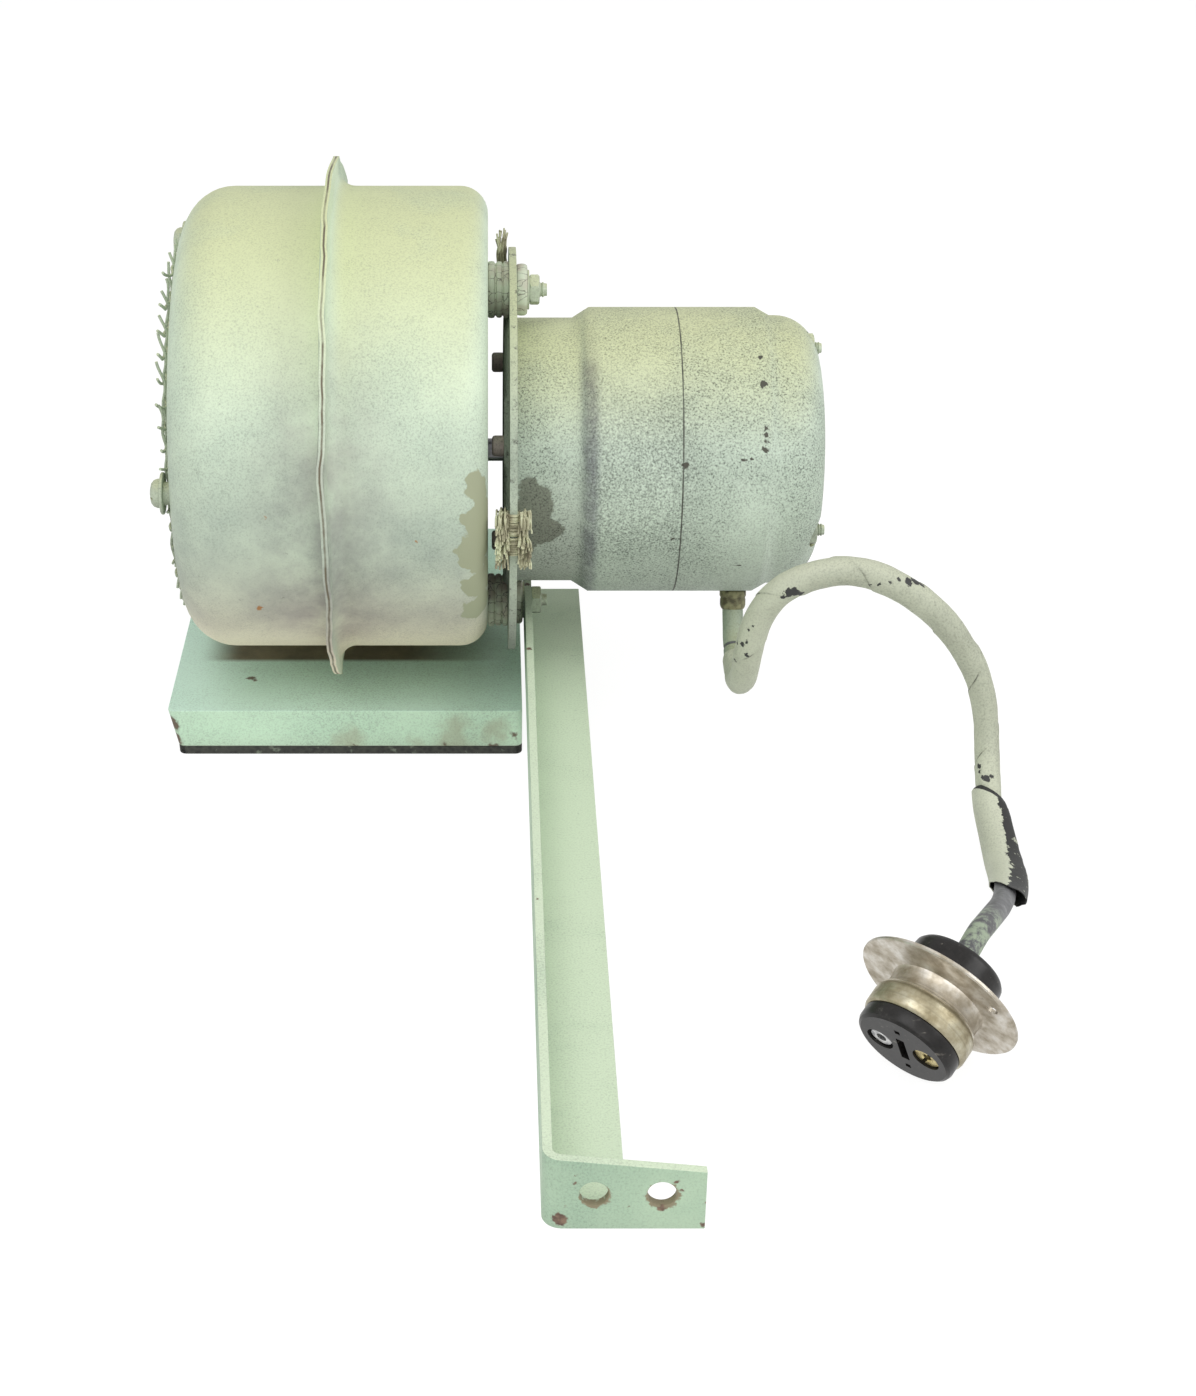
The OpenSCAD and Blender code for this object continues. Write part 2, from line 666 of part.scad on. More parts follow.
module stator_core() color("#7d827f") difference() {
    shaft_ring(core_x0, core_x1, motor_r - frame_wall - fit_gap, rotor_r + air_gap);
    at_bolts() on_shaft(core_x0 - 1) cylinder(r = bolt_r + fit_gap, h = core_l + 2);
}

module stator_windings() color("#9c5a2c") {
    shaft_ring(core_x0 - winding_l, core_x0, winding_r[1], winding_r[0]);
    shaft_ring(core_x1, core_x1 + winding_l, winding_r[1], winding_r[0]);
}

module front_bearing() color("#c0c4c2")
    shaft_ring(motor_x0, motor_x0 + bearing_w, bearing_r, shaft_r + running_gap);

module rear_bearing() color("#c0c4c2")
    shaft_ring(rear_bearing_x, rear_bearing_x + bearing_w, bearing_r, shaft_r + running_gap);

// Cup that holds the front bearing and the front of the stator
module motor_front_frame() color("#b9cfae") difference() {
    on_shaft() rotate_extrude() polygon([
        [bearing_r + fit_gap, motor_x0], [motor_neck_r, motor_x0], [motor_neck_r, neck_end_x],
        [motor_r, body_start_x], [motor_r, motor_seam_x], [motor_r - frame_wall, motor_seam_x],
        [motor_r - frame_wall, body_start_x], [motor_neck_r - frame_wall, neck_end_x],
        [motor_neck_r - frame_wall, motor_x0 + frame_wall], [boss_r, motor_x0 + frame_wall],
        [boss_r, motor_x0 + bearing_w], [bearing_r + fit_gap, motor_x0 + bearing_w]
    ]);
    for (turn = [bolt_turn, plate_screw_turn])
        at_bolts(turn) on_shaft(motor_x0 - 1) cylinder(r = bolt_r + fit_gap, h = frame_wall + 2);
}

// Outside of the rear frame, as a solid of revolution
module rear_frame_outside() {
    on_shaft() rotate_extrude() polygon(concat(
        [[0, motor_seam_x], [motor_r, motor_seam_x], [motor_r, body_end_x], [motor_tail_r, tail_start_x]],
        arc(tail_corner, tail_corner_r, 0, 90, 12),
        [[0, motor_end_x]]
    ));
}

// Cup that holds the rear bearing, with spot-faced bosses for the through bolts
module motor_rear_frame() color("#b9cfae") difference() {
    frame_in_r = motor_r - frame_wall;
    tail_x = motor_end_x - frame_wall;
    rear_frame_outside();
    on_shaft() difference() {
        rotate_extrude() polygon(concat(
            [[0, motor_seam_x - 1], [frame_in_r, motor_seam_x - 1], [frame_in_r, body_end_x],
             [motor_tail_r - frame_wall, tail_start_x]],
            arc(tail_corner, tail_corner_r - frame_wall, 0, 90, 12),
            [[boss_r, tail_x], [boss_r, rear_bearing_x], [bearing_r + fit_gap, rear_bearing_x],
             [bearing_r + fit_gap, tail_x], [0, tail_x]]
        ));
        translate([0, 0, spotface_x - spotface_floor]) for (i = [0:2])
            rotate([0, 0, bolt_turn + 120 * i - 90]) translate([0, bolt_circle_r, 0])
                rotate([0, 0, 90 - bolt_turn - 120 * i])
                    cylinder(r = spotface_r + frame_wall, h = spotface_depth + spotface_floor);
    }
    at_bolts() {
        on_shaft(spotface_x) cylinder(r = spotface_r, h = spotface_depth + 1);
        on_shaft(spotface_x - spotface_floor - 1) cylinder(r = bolt_r + fit_gap, h = spotface_floor + 2);
    }
    translate([gland_x, 0, shaft_h]) rotate([180 - gland_lean, 0, 0])
        translate([0, 0, motor_r - frame_wall - 1]) cylinder(r = gland_neck_r + fit_gap, h = frame_wall + 2);
}

// Round plate, dished to take the motor's face
module motor_plate() color("#b4c6ac") difference() {
    on_shaft() rotate_extrude() polygon([
        [plate_shaft_hole_r, dish_x0], [dish_r, dish_x0], [dish_r + plate_dish_slope, plate_x0],
        [plate_r, plate_x0], [plate_r, plate_x1], [dish_r + plate_dish_slope, plate_x1],
        [dish_r, motor_x0], [plate_shaft_hole_r, motor_x0]
    ]);
    at_bolts(plate_screw_turn) on_shaft(dish_x0 - 1) cylinder(r = bolt_r + fit_gap, h = plate_t + 2);
    for (side = stud_sides) translate([0, 0, side * isolator_r])
        on_shaft(plate_x0 - 1) cylinder(r = stud_r + fit_gap, h = plate_t + 2);
}

// Screws that hold the motor's front frame to the plate
module plate_screws() color("#aab5a4") at_bolts(plate_screw_turn) {
    on_shaft(dish_x0 - plate_screw_head_h) cylinder(r = plate_screw_head_r, h = plate_screw_head_h);
    on_shaft(dish_x0) cylinder(r = bolt_r, h = motor_x0 + frame_wall + plate_screw_end - dish_x0);
}

// Bolts that tie the two motor frames together
module through_bolts() color("#aab5a4") at_bolts()
    on_shaft(motor_x0) cylinder(r = bolt_r, h = spotface_x + bolt_nut_h + bolt_end - motor_x0);

module hex_nut(x, af, h, r) {
    on_shaft(x) difference() {
        rotate([0, 0, 30]) cylinder(r = af / sqrt(3), h = h, $fn = 6);
        translate([0, 0, -1]) cylinder(r = r + fit_gap, h = h + 2);
    }
}

module through_bolt_nuts() color("#aab5a4") at_bolts() hex_nut(spotface_x, bolt_nut_af, bolt_nut_h, bolt_r);

module isolator_upper_bush() color("#a79f97") stud_ring(1, housing_x1, plate_x0, bush_r);

module isolator_upper_rubber() color("#b5bca6") stud_ring(1, plate_x1, plate_x1 + upper_rubber_l, rubber_r);

module isolator_lower_bush() color("#a79f97") stud_ring(-1, housing_x1, plate_x0, bush_r);

module isolator_lower_rubber() color("#a79f97") stud_ring(-1, plate_x1, plate_x1 + lower_rubber_l, rubber_r);

module isolator_studs() color("#b3bcaa") for (i = [0, 1])
    translate([0, 0, stud_sides[i] * isolator_r])
        on_shaft(housing_x1) cylinder(r = stud_r, h = stud_ends[i] - housing_x1);

module isolator_washers() color("#b9c6ae") for (i = [0, 1])
    stud_ring(stud_sides[i], plate_x1 + rubber_ls[i], plate_x1 + rubber_ls[i] + washer_t, stud_washer_r);

module isolator_nuts() color("#b9c6ae") {
    translate([0, 0, isolator_r]) hex_nut(plate_x1 + upper_rubber_l + washer_t, nut_af, nut_h, stud_r);
    translate([0, 0, -isolator_r]) hex_nut(bracket_x0 + angle_t, nut_af, nut_h, stud_r);
}

// Angle iron from the lower stud to the foot, its upright leg bent round into the foot
module support_bracket() color("#a9c9ac") difference() {
    union() {
        leg_y0 = foot_y + bend_outer_r;
        translate([bracket_x0, leg_y0, bracket_z]) cube([angle_t, bracket_back - leg_y0, angle_w]);
        translate([bracket_x0, leg_y0, bracket_z]) cube([angle_w, bracket_back - leg_y0, angle_t]);
        translate([bracket_x0 + bend_outer_r, leg_y0, bracket_z]) rotate([0, 0, 180])
            rotate_extrude(angle = 90) translate([bend_r, 0]) square([angle_t, angle_w]);
        translate([bracket_x0, foot_y + angle_t, bracket_z]) rotate([90, 0, 0]) linear_extrude(angle_t)
            polygon([[bend_outer_r, 0], [foot_w, 0], [foot_w, foot_end_h], [bend_outer_r, angle_w]]);
    }
    translate([0, 0, -isolator_r]) on_shaft(bracket_x0 - 1) cylinder(r = stud_r + fit_gap, h = angle_t + 2);
    for (i = [0, 1])
        translate([bracket_x0 + foot_hole_x + i * foot_hole_spacing, foot_y - 1, bracket_z + foot_hole_h])
            rotate([-90, 0, 0]) cylinder(r = foot_hole_r, h = angle_t + 2);
}

// A braid folded over the plate's front rim, and a stub of another behind the upper stud
module bonding_braids() color("#8d8f78") {
    half = plate_t / 2 + soft_gap;
    translate([0, -plate_r - braid_overhang, shaft_h - braid_drop - braid_w / 2])
        linear_extrude(braid_w) difference() {
            translate([-half - braid_t, 0]) square([2 * (half + braid_t), braid_depth + braid_overhang]);
            translate([-half, braid_overhang - soft_gap]) square([2 * half, braid_depth + 2 * soft_gap]);
        }
    translate([-half - braid_t, braid_stub_y, shaft_h + isolator_r])
        cube([braid_t, braid_stub.x, braid_stub.y]);
}

// Collar and neck that bring the cord into the rear frame
module cable_gland() color("#8f8a70") translate([gland_x, 0, shaft_h]) rotate([180 - gland_lean, 0, 0]) {
    translate([0, 0, motor_r - frame_wall]) cylinder(r = gland_neck_r, h = frame_wall + fit_gap);
    translate([0, 0, motor_r + fit_gap]) cylinder(r = gland_r, h = gland_l - fit_gap);
}

module cord_lead() color("#a9bda4") cord_tube(0, tape_start, cable_d);

module cord_taped() color("#bcc7ae") cord_tube(tape_start, tape_end, taped_d);

module cord_tail() color("#3a3b3d") cord_tube(tape_end, cord_last, cable_d);

// Draws along the connector's axis, with its flange at zero and its nose upwards
module at_connector() {
    translate(connector_at) rotate([90 + connector_tilt, 0, -connector_heading]) children();
}

// Flange, grooved neck and rolled front of the shell
module connector_shell() color("#b9b7b0") at_connector() difference() {
    front = connector_nose_l - insert_proud;
    bead = (front - shell_neck_l) / 2;
    rotate_extrude() polygon(concat(
        [[shell_in_r, -connector_flange_t], [connector_flange_r, -connector_flange_t],
         [connector_flange_r, 0], [shell_neck_r + shell_fillet, 0], [shell_neck_r, shell_fillet],
         [shell_neck_r, shell_neck_l - shell_fillet]],
        [for (a = [-60:20:60])
            [connector_bead_r - bead_flatten * bead * (1 - cos(a)), front - bead + bead * sin(a)]],
        [[connector_nose_r - bead_step, front], [shell_in_r, front]]
    ));
    for (a = connector_hole_turns) rotate([0, 0, a])
        translate([connector_hole_circle_r, 0, -connector_flange_t - 1])
            cylinder(r = connector_hole_r, h = connector_flange_t + 2);
}

module connector_back_cap() color("#2a2a2b") at_connector()
    translate([0, 0, -connector_flange_t - connector_cap_l])
        rounded_disc(connector_cap_r, connector_cap_l, cap_round_r);

// Black insert: a core inside the shell and a proud nose with two contact pockets
module connector_insert() color("#2c2d30") at_connector() difference() {
    front = connector_nose_l - insert_proud;
    union() {
        translate([0, 0, -connector_flange_t])
            cylinder(r = shell_in_r - fit_gap, h = front + connector_flange_t);
        translate([0, 0, front]) cylinder(r = connector_nose_r, h = insert_proud);
    }
    for (s = [-1, 1]) translate([s * contact_side, 0, connector_nose_l - contact_depth - contact_sink])
        cylinder(r = contact_r + fit_gap, h = contact_depth + contact_sink + 1);
    translate([-key_slot.x / 2, -key_slot.y / 2, connector_nose_l - key_slot.z])
        cube(key_slot + [0, 0, 1]);
}

module connector_contacts() color("#c7bfae") at_connector() for (s = [-1, 1])
    translate([s * contact_side, 0, connector_nose_l - contact_depth - contact_sink]) difference() {
        cylinder(r = contact_r, h = contact_depth);
        translate([0, 0, contact_floor]) cylinder(r = contact_hole_r, h = contact_depth);
    }

housing_inlet_half();
housing_motor_half();
inlet_ring();
inlet_guard();
guard_washers();
guard_screws();
base_pan();
base_gasket();
impeller_backplate();
impeller_blades();
impeller_front_ring();
impeller_hub();
hub_setscrew();
motor_shaft();
rotor_core();
rotor_end_rings();
stator_core();
stator_windings();
front_bearing();
rear_bearing();
motor_front_frame();
motor_rear_frame();
motor_plate();
plate_screws();
through_bolts();
through_bolt_nuts();
isolator_upper_bush();
isolator_upper_rubber();
isolator_lower_bush();
isolator_lower_rubber();
isolator_studs();
isolator_washers();
isolator_nuts();
support_bracket();
bonding_braids();
cable_gland();
cord_lead();
cord_taped();
cord_tail();
connector_shell();
connector_back_cap();
connector_insert();
connector_contacts();
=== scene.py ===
# %% [markdown]
# # A painted centrifugal blower
#
# This lesson dresses a small squirrel-cage blower that has been in service for years. A scroll
# housing of two pressed halves stands on a tray, a motor hangs on rubber bushes from a round
# plate, and a long angle bracket ends in a bolt-on foot. Everything wears the same pale green
# brush and spray paint, and a taped cord ends in a round metal connector.
#
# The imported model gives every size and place. X runs along the shaft towards the motor, Y away
# from the foot and Z up, in metres. Lengths below are written in millimetres and multiplied by MM.

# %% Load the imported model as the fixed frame
import math
import random

import bpy
from mathutils import Matrix, Vector, noise


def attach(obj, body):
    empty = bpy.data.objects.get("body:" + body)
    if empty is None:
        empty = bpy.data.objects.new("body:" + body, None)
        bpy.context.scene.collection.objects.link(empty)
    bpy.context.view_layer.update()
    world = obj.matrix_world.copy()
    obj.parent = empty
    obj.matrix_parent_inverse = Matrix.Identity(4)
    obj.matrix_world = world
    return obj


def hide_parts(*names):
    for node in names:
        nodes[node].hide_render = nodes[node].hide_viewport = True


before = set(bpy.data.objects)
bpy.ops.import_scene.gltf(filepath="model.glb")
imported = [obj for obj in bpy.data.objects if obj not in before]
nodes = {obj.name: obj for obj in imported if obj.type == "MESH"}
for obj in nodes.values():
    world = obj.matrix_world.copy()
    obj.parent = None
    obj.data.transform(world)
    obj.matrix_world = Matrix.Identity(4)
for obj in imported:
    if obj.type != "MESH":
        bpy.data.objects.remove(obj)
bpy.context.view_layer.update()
MM = 0.001
SHAFT_Z = 119
HERE = Matrix.Identity(4)
scene = bpy.context.scene
bpy.ops.object.select_all(action="DESELECT")

# %% [markdown]
# ## Camera
#
# The photograph looks down at about 28 degrees from the foot's side, along +Y. Its frame is taller
# than wide, so Blender fits the 36 mm sensor to the height. The blower stands left of the
# picture's middle line, which the lens shift takes up, and no depth of field is used.

# %% Camera
FRAME_W, FRAME_H = 1196, 1396
SENSOR_MM, FOCAL_PX = 36, 2400
AXIS_PX = 488
CAMERA_PLACE = (-0.010, -0.9425, 0.5004)
PITCH_DOWN = math.radians(27.94)
bpy.ops.object.camera_add(location=CAMERA_PLACE, rotation=(math.pi / 2 - PITCH_DOWN, 0, 0))
camera = bpy.context.object
camera.name = "camera"
camera.data.sensor_width = SENSOR_MM
camera.data.lens = SENSOR_MM * FOCAL_PX / FRAME_H
camera.data.shift_x = (FRAME_W / 2 - AXIS_PX) / FRAME_H
scene.camera = camera
print("lens", round(camera.data.lens, 2), "shift", round(camera.data.shift_x, 4))

# %% [markdown]
# ## Materials as layers
#
# Colours are noted as sRGB hex values, because that is how they are read off a screen, and Blender
# works in linear light, so one function converts them. Another adds a node: each setting is either
# an attribute of the node or the value of an input, and links join inputs to other sockets. A
# finish keeps the colour reached so far, and every new layer is laid over it through a mask.

# %% Helpers for materials
def linear(hex_colour):
    channels = [int(hex_colour[i:i + 2], 16) / 255 for i in (1, 3, 5)]
    return [c / 12.92 if c <= 0.04045 else ((c + 0.055) / 1.055) ** 2.4 for c in channels] + [1]


def add_node(tree, kind, settings=(), links=()):
    made = tree.nodes.new("ShaderNode" + kind)
    for key, value in dict(settings).items():
        if isinstance(key, str) and hasattr(made, key):
            setattr(made, key, value)
        else:
            made.inputs[key].default_value = value
    for key, socket in dict(links).items():
        tree.links.new(socket, made.inputs[key])
    return made


class Finish:
    """A material in the making: its nodes, the shader's inputs and the colour so far."""

    def __init__(self, name, metallic, roughness):
        self.material = bpy.data.materials.new(name)
        self.material.use_nodes = True
        self.tree = self.material.node_tree
        self.inputs = self.tree.nodes["Principled BSDF"].inputs
        self.inputs["Metallic"].default_value = metallic
        self.inputs["Roughness"].default_value = roughness
        self.coords = self.add("TexCoord").outputs["Object"]
        self.colour = None

    def add(self, kind, settings=(), links=()):
        return add_node(self.tree, kind, settings, links)

    def noise(self, size_mm, detail, roughness=0.5, at=None, output="Fac"):
        """Noise with features of about that size."""
        settings = {"Scale": 1 / (size_mm * MM), "Detail": detail, "Roughness": roughness}
        return self.add("TexNoise", settings, {"Vector": at or self.coords}).outputs[output]

    def part(self, axis, of=None):
        return self.add("SeparateXYZ", links={"Vector": of or self.coords}).outputs[axis]

    def math(self, operation, first, second=0.0):
        plain = isinstance(second, (int, float))
        settings = {"operation": operation}
        links = {0: first}
        (settings if plain else links)[1] = second
        return self.add("Math", settings, links).outputs[0]

    def vector(self, operation, first, second, output=0):
        made = self.add("VectorMath", {"operation": operation, 1: second}, {0: first or self.coords})
        return made.outputs[output]

    def toward(self, place, axis):
        """How far along an axis a point lies from a place, in metres."""
        return self.vector("DOT_PRODUCT", self.vector("SUBTRACT", None, place), axis, "Value")

    def times(self, first, *others):
        for other in others:
            first = self.math("MULTIPLY", first, other)
        return first

    def span(self, socket, low, high):
        """0 at low, 1 at high, smooth between them."""
        settings = {"interpolation_type": "SMOOTHSTEP", "From Min": low, "From Max": high}
        return self.add("MapRange", settings, {"Value": socket}).outputs["Result"]

    def along(self, axis, low_mm, high_mm):
        """The same along X, Y or Z."""
        return self.span(self.part(axis), low_mm * MM, high_mm * MM)

    def beside(self, axis, place_mm, far_mm, close_mm):
        """1 close to a place on an axis, 0 far from it."""
        off = self.math("ABSOLUTE", self.math("ADD", self.part(axis), -place_mm * MM))
        return self.span(off, far_mm * MM, close_mm * MM)

    def ramp(self, socket, stops):
        made = self.add("ValToRGB", links={"Fac": socket})
        elements = made.color_ramp.elements
        while len(elements) < len(stops):
            elements.new(0.5)
        for element, (position, colour) in zip(elements, stops):
            element.position = position
            element.color = linear(colour) if isinstance(colour, str) else (colour, colour, colour, 1)
        return made.outputs["Color"]

    def lay(self, over, mask, blend="MIX"):
        """Lays a colour over what is there, where the mask is white."""
        settings = {"data_type": "RGBA", "blend_type": blend}
        links = {0: mask, 6: self.colour}
        if isinstance(over, str):
            settings[7] = linear(over)
        else:
            links[7] = over
        self.colour = self.add("Mix", settings, links).outputs[2]

    def spots(self, places, ragged_mm, soft_mm):
        """White inside ragged blots, each given as x, y, z and a radius in millimetres."""
        wobble = self.noise(2.2 * ragged_mm, 4, output="Color")
        centred = self.vector("SUBTRACT", wobble, (0.5, 0.5, 0.5))
        moved = self.add("VectorMath", {"operation": "SCALE", "Scale": 4 * ragged_mm * MM}, {0: centred})
        at = self.add("VectorMath", {"operation": "ADD"}, {0: self.coords, 1: moved.outputs[0]}).outputs[0]
        mask = None
        for *point, radius in places:
            away = self.vector("DISTANCE", at, Vector(point) * MM, "Value")
            blot = self.span(away, radius * MM, (radius - soft_mm) * MM)
            mask = self.math("MAXIMUM", mask, blot) if mask else blot
        return mask

    def emboss(self, height, strength, depth_mm):
        bump = self.add("Bump", {"Strength": strength, "Distance": depth_mm * MM}, {"Height": height})
        self.link(bump.outputs["Normal"], "Normal")

    def link(self, socket, name):
        self.tree.links.new(socket, self.inputs[name])

    def uv(self, name, axis):
        return self.part(axis, self.add("UVMap", {"uv_map": name}).outputs["UV"])

    def done(self):
        self.link(self.colour, "Base Color")
        return self.material


def mottled(name, metallic, roughness, size_mm, detail, stops):
    """A finish that goes from colour to colour by one noise."""
    finish = Finish(name, metallic, roughness)
    finish.colour = finish.ramp(finish.noise(size_mm, detail), stops)
    return finish.done()


# %% [markdown]
# ## Light and floor
#
# The photograph was taken in flat, soft light from above the camera, and its background is cut
# out to white. A pale world fills in from all sides. Three large lamps, above, in front and at
# the right, model the round shapes, and a weak one at the left keeps the inlet's edge open. Seen
# by the camera, the floor and the world are nearly white, and the floor still takes a faint shadow.

# %% Light and floor
WORLD_LIGHT = 0.42
FLOOR_SIZE, FLOOR_Z = 12, -0.0002
FLOOR_GLOW, SHADOW_SHARE = 1.16, 0.22
LAMPS = {
    "lamp_above": ((-0.35, -0.75, 1.35), (0, 0, 0.1), 0.9, 7.0),
    "lamp_right": ((1.2, -0.5, 0.9), (0.1, -0.1, 0.1), 0.8, 7.5),
    "lamp_front": ((0.15, -1.7, 0.85), (0, 0, 0.1), 1.3, 6.5),
    "lamp_left": ((-1.3, -0.6, 0.7), (0, 0, 0.1), 0.9, 2.4),
}


def looked_at(tree):
    """1 for what the camera sees, straight or in a reflection, and 0 for light that falls on things."""
    path = add_node(tree, "LightPath")
    seen = path.outputs["Is Camera Ray"]
    for kind in ("Is Glossy Ray", "Is Transmission Ray"):
        seen = add_node(tree, "Math", {"operation": "MAXIMUM"}, {0: seen, 1: path.outputs[kind]}).outputs[0]
    return seen


scene.view_settings.view_transform = "Standard"
scene.world = bpy.data.worlds.new("studio")
scene.world.use_nodes = True
sky = scene.world.node_tree
strength = add_node(sky, "MapRange", {"To Min": WORLD_LIGHT, "To Max": 1.0}, {"Value": looked_at(sky)})
background = sky.nodes["Background"]
background.inputs["Color"].default_value = (1, 1, 1, 1)
sky.links.new(strength.outputs[0], background.inputs["Strength"])

for name, (place, aim, size, watts) in LAMPS.items():
    turn = (Vector(aim) - Vector(place)).to_track_quat("-Z", "Y").to_euler()
    bpy.ops.object.light_add(type="AREA", location=place, rotation=turn)
    lamp = bpy.context.object
    lamp.name = name
    lamp.data.size = size
    lamp.data.energy = watts

bpy.ops.mesh.primitive_plane_add(size=FLOOR_SIZE, location=(0, 0, FLOOR_Z))
floor = bpy.context.object
floor.name = "floor"
paper = bpy.data.materials.new("white_paper")
paper.use_nodes = True
tree = paper.node_tree
tree.nodes.remove(tree.nodes["Principled BSDF"])
matt = add_node(tree, "BsdfDiffuse", {"Color": linear("#f4f4f2")})
glow = add_node(tree, "Emission", {"Strength": FLOOR_GLOW})
white_share = add_node(tree, "Math", {"operation": "MULTIPLY", 1: 1 - SHADOW_SHARE}, {0: looked_at(tree)})
mixed = add_node(tree, "MixShader", links={0: white_share.outputs[0], 1: matt.outputs[0], 2: glow.outputs[0]})
tree.links.new(mixed.outputs[0], tree.nodes["Material Output"].inputs["Surface"])
floor.data.materials.append(paper)
bpy.ops.object.select_all(action="DESELECT")
print("lamps", len(LAMPS))

# %% [markdown]
# ## The supply cord
#
# The cord leaves the motor through a grommet, dips, turns up over a wide loop and comes down to lie
# on the floor before it reaches the connector. It is photographed from end to end, so the route
# gives its length. The cable is a curve with a round bevel, drawn through listed points with
# a Catmull-Rom spline, because that passes through every point and keeps the bends smooth.

# %% Cord route and cable
GLAND_END = (94, -23.05, 55.67)
CONNECTOR_BACK = (152.34, -257.30, 33.54)
CORD_POINTS = [
    (94, -30, 46.5), (94, -38.5, 41.5), (94, -50, 39.5), (94, -61.5, 41.5), (94, -71, 47.5),
    (94.2, -78, 56), (94.8, -82, 66.5), (96.5, -84, 77.5), (100.5, -86, 88.2), (107.5, -88, 96.5),
    (117.5, -89, 102), (129, -90, 104.5), (141, -90, 102.5), (152.5, -90, 97), (163.5, -90, 89),
    (174, -90, 78), (182.5, -90, 65), (188, -91, 52), (190.5, -93, 40), (191, -97, 29.5),
    (191, -105, 20.5), (190.5, -116, 13.5), (190.5, -132, 8.5), (189.5, -148, 7), (188, -163, 8.5),
    (184, -181, 13), (178.5, -199, 20), (172, -216, 27), (166, -231, 33), (160, -244, 36.5),
]
TAPE_START, TAPE_END = 2, 25
CABLE_D = 8.4
STEPS_PER_SPAN = 6
route = [Vector(p) * MM for p in [GLAND_END] + CORD_POINTS + [CONNECTOR_BACK]]


def smooth_line(points, steps):
    """Points of a Catmull-Rom spline through the given ones."""
    padded = [2 * points[0] - points[1]] + points + [2 * points[-1] - points[-2]]
    line = []
    for a, b, c, d in zip(padded, padded[1:], padded[2:], padded[3:]):
        for k in range(steps):
            t = k / steps
            line.append(0.5 * (2 * b + (c - a) * t + (2 * a - 5 * b + 4 * c - d) * t ** 2
                               + (3 * b - a - 3 * c + d) * t ** 3))
    return line + [points[-1]]


def length_of(line):
    return sum((b - a).length for a, b in zip(line, line[1:]))


def new_piece(name, data):
    piece = bpy.data.objects.new(name, data)
    scene.collection.objects.link(piece)
    return piece


def curve_piece(name, lines, radius, sides):
    """One curve object with a round bevel, a poly spline for each line of points."""
    curve = bpy.data.curves.new(name, "CURVE")
    curve.dimensions = "3D"
    curve.bevel_depth = radius
    curve.bevel_resolution = sides
    curve.use_fill_caps = True
    for line in lines:
        spline = curve.splines.new("POLY")
        spline.points.add(len(line) - 1)
        for point, at in zip(spline.points, line):
            point.co = (*at, 1)
    return new_piece(name, curve)


cord_line = smooth_line(route, STEPS_PER_SPAN)
cable = curve_piece("supply_cable", [cord_line], CABLE_D / 2 * MM, 5)

# %% [markdown]
# ## Modelling helpers
#
# Three ways of making a piece come back all the time. A pressed or cast part starts as a merged
# copy of its CAD node, whose edges are rounded with a bevel. A turned part is a profile that the
# spin tool turns round an axis. A bored or cut part gets a boolean. In each case the mesh is moved
# to its place at the end, so the object itself stays at the origin.

# %% Helpers for modelling
def activate(piece):
    bpy.ops.object.select_all(action="DESELECT")
    piece.select_set(True)
    bpy.context.view_layer.objects.active = piece


def apply_modifiers(piece):
    activate(piece)
    for name in [m.name for m in piece.modifiers]:
        bpy.ops.object.modifier_apply(modifier=name)


def edit_all(piece, *steps):
    """Runs steps of edit mode, each on the whole mesh."""
    activate(piece)
    bpy.ops.object.mode_set(mode="EDIT")
    for step in steps:
        bpy.ops.mesh.select_all(action="SELECT")
        step()
    bpy.ops.object.mode_set(mode="OBJECT")


def turn_outward():
    bpy.ops.mesh.normals_make_consistent(inside=False)


def smooth(piece, angle):
    activate(piece)
    bpy.ops.object.shade_smooth_by_angle(angle=math.radians(angle))


def rounded(piece, width, angle=40):
    """Rounds the sharp edges and keeps flat faces flat in the shading."""
    edge = piece.modifiers.new("edge", "BEVEL")
    edge.width = width * MM
    edge.segments = 2
    edge.limit_method = "ANGLE"
    edge.angle_limit = math.radians(angle)
    edge.use_clamp_overlap = True
    apply_modifiers(piece)
    smooth(piece, angle)
    piece.modifiers.new("shading", "WEIGHTED_NORMAL").keep_sharp = True
    apply_modifiers(piece)
    return piece


def merged_copy(node_name, name):
    """A copy of a CAD node whose loose triangles are joined into clean faces."""
    piece = new_piece(name, nodes[node_name].data.copy())
    piece.data.materials.clear()
    edit_all(piece, lambda: bpy.ops.mesh.remove_doubles(threshold=2e-6),
             lambda: bpy.ops.mesh.dissolve_limited(angle_limit=math.radians(0.3)))
    return piece


def turned(name, profile, place, steps=48, closed=False):
    """Spins a profile of (radius, height) points in millimetres round the local Z axis."""
    mesh = bpy.data.meshes.new(name)
    corners = [(r * MM, 0, h * MM) for r, h in profile]
    edges = [(i, i + 1) for i in range(len(corners) - 1)]
    mesh.from_pydata(corners, edges + [(len(corners) - 1, 0)] * closed, [])
    piece = new_piece(name, mesh)
    turn = 2 * math.pi
    edit_all(piece, lambda: bpy.ops.mesh.spin(steps=steps, angle=turn, center=(0, 0, 0), axis=(0, 0, 1)),
             lambda: bpy.ops.mesh.remove_doubles(threshold=1e-6), turn_outward)
    smooth(piece, 35)
    mesh.transform(place)
    return piece


def cut(piece, cutter, operation="DIFFERENCE"):
    """Applies a boolean and removes the cutter."""
    boolean = piece.modifiers.new("cut", "BOOLEAN")
    boolean.operation = operation
    boolean.object = cutter
    boolean.solver = "EXACT"
    apply_modifiers(piece)
    bpy.data.objects.remove(cutter)


def drill(piece, radius, bottom, top, at=(0, 0, 0), steps=48):
    profile = [(0, bottom), (radius, bottom), (radius, top), (0, top)]
    cut(piece, turned("drill", profile, Matrix.Translation(Vector(at) * MM), steps))


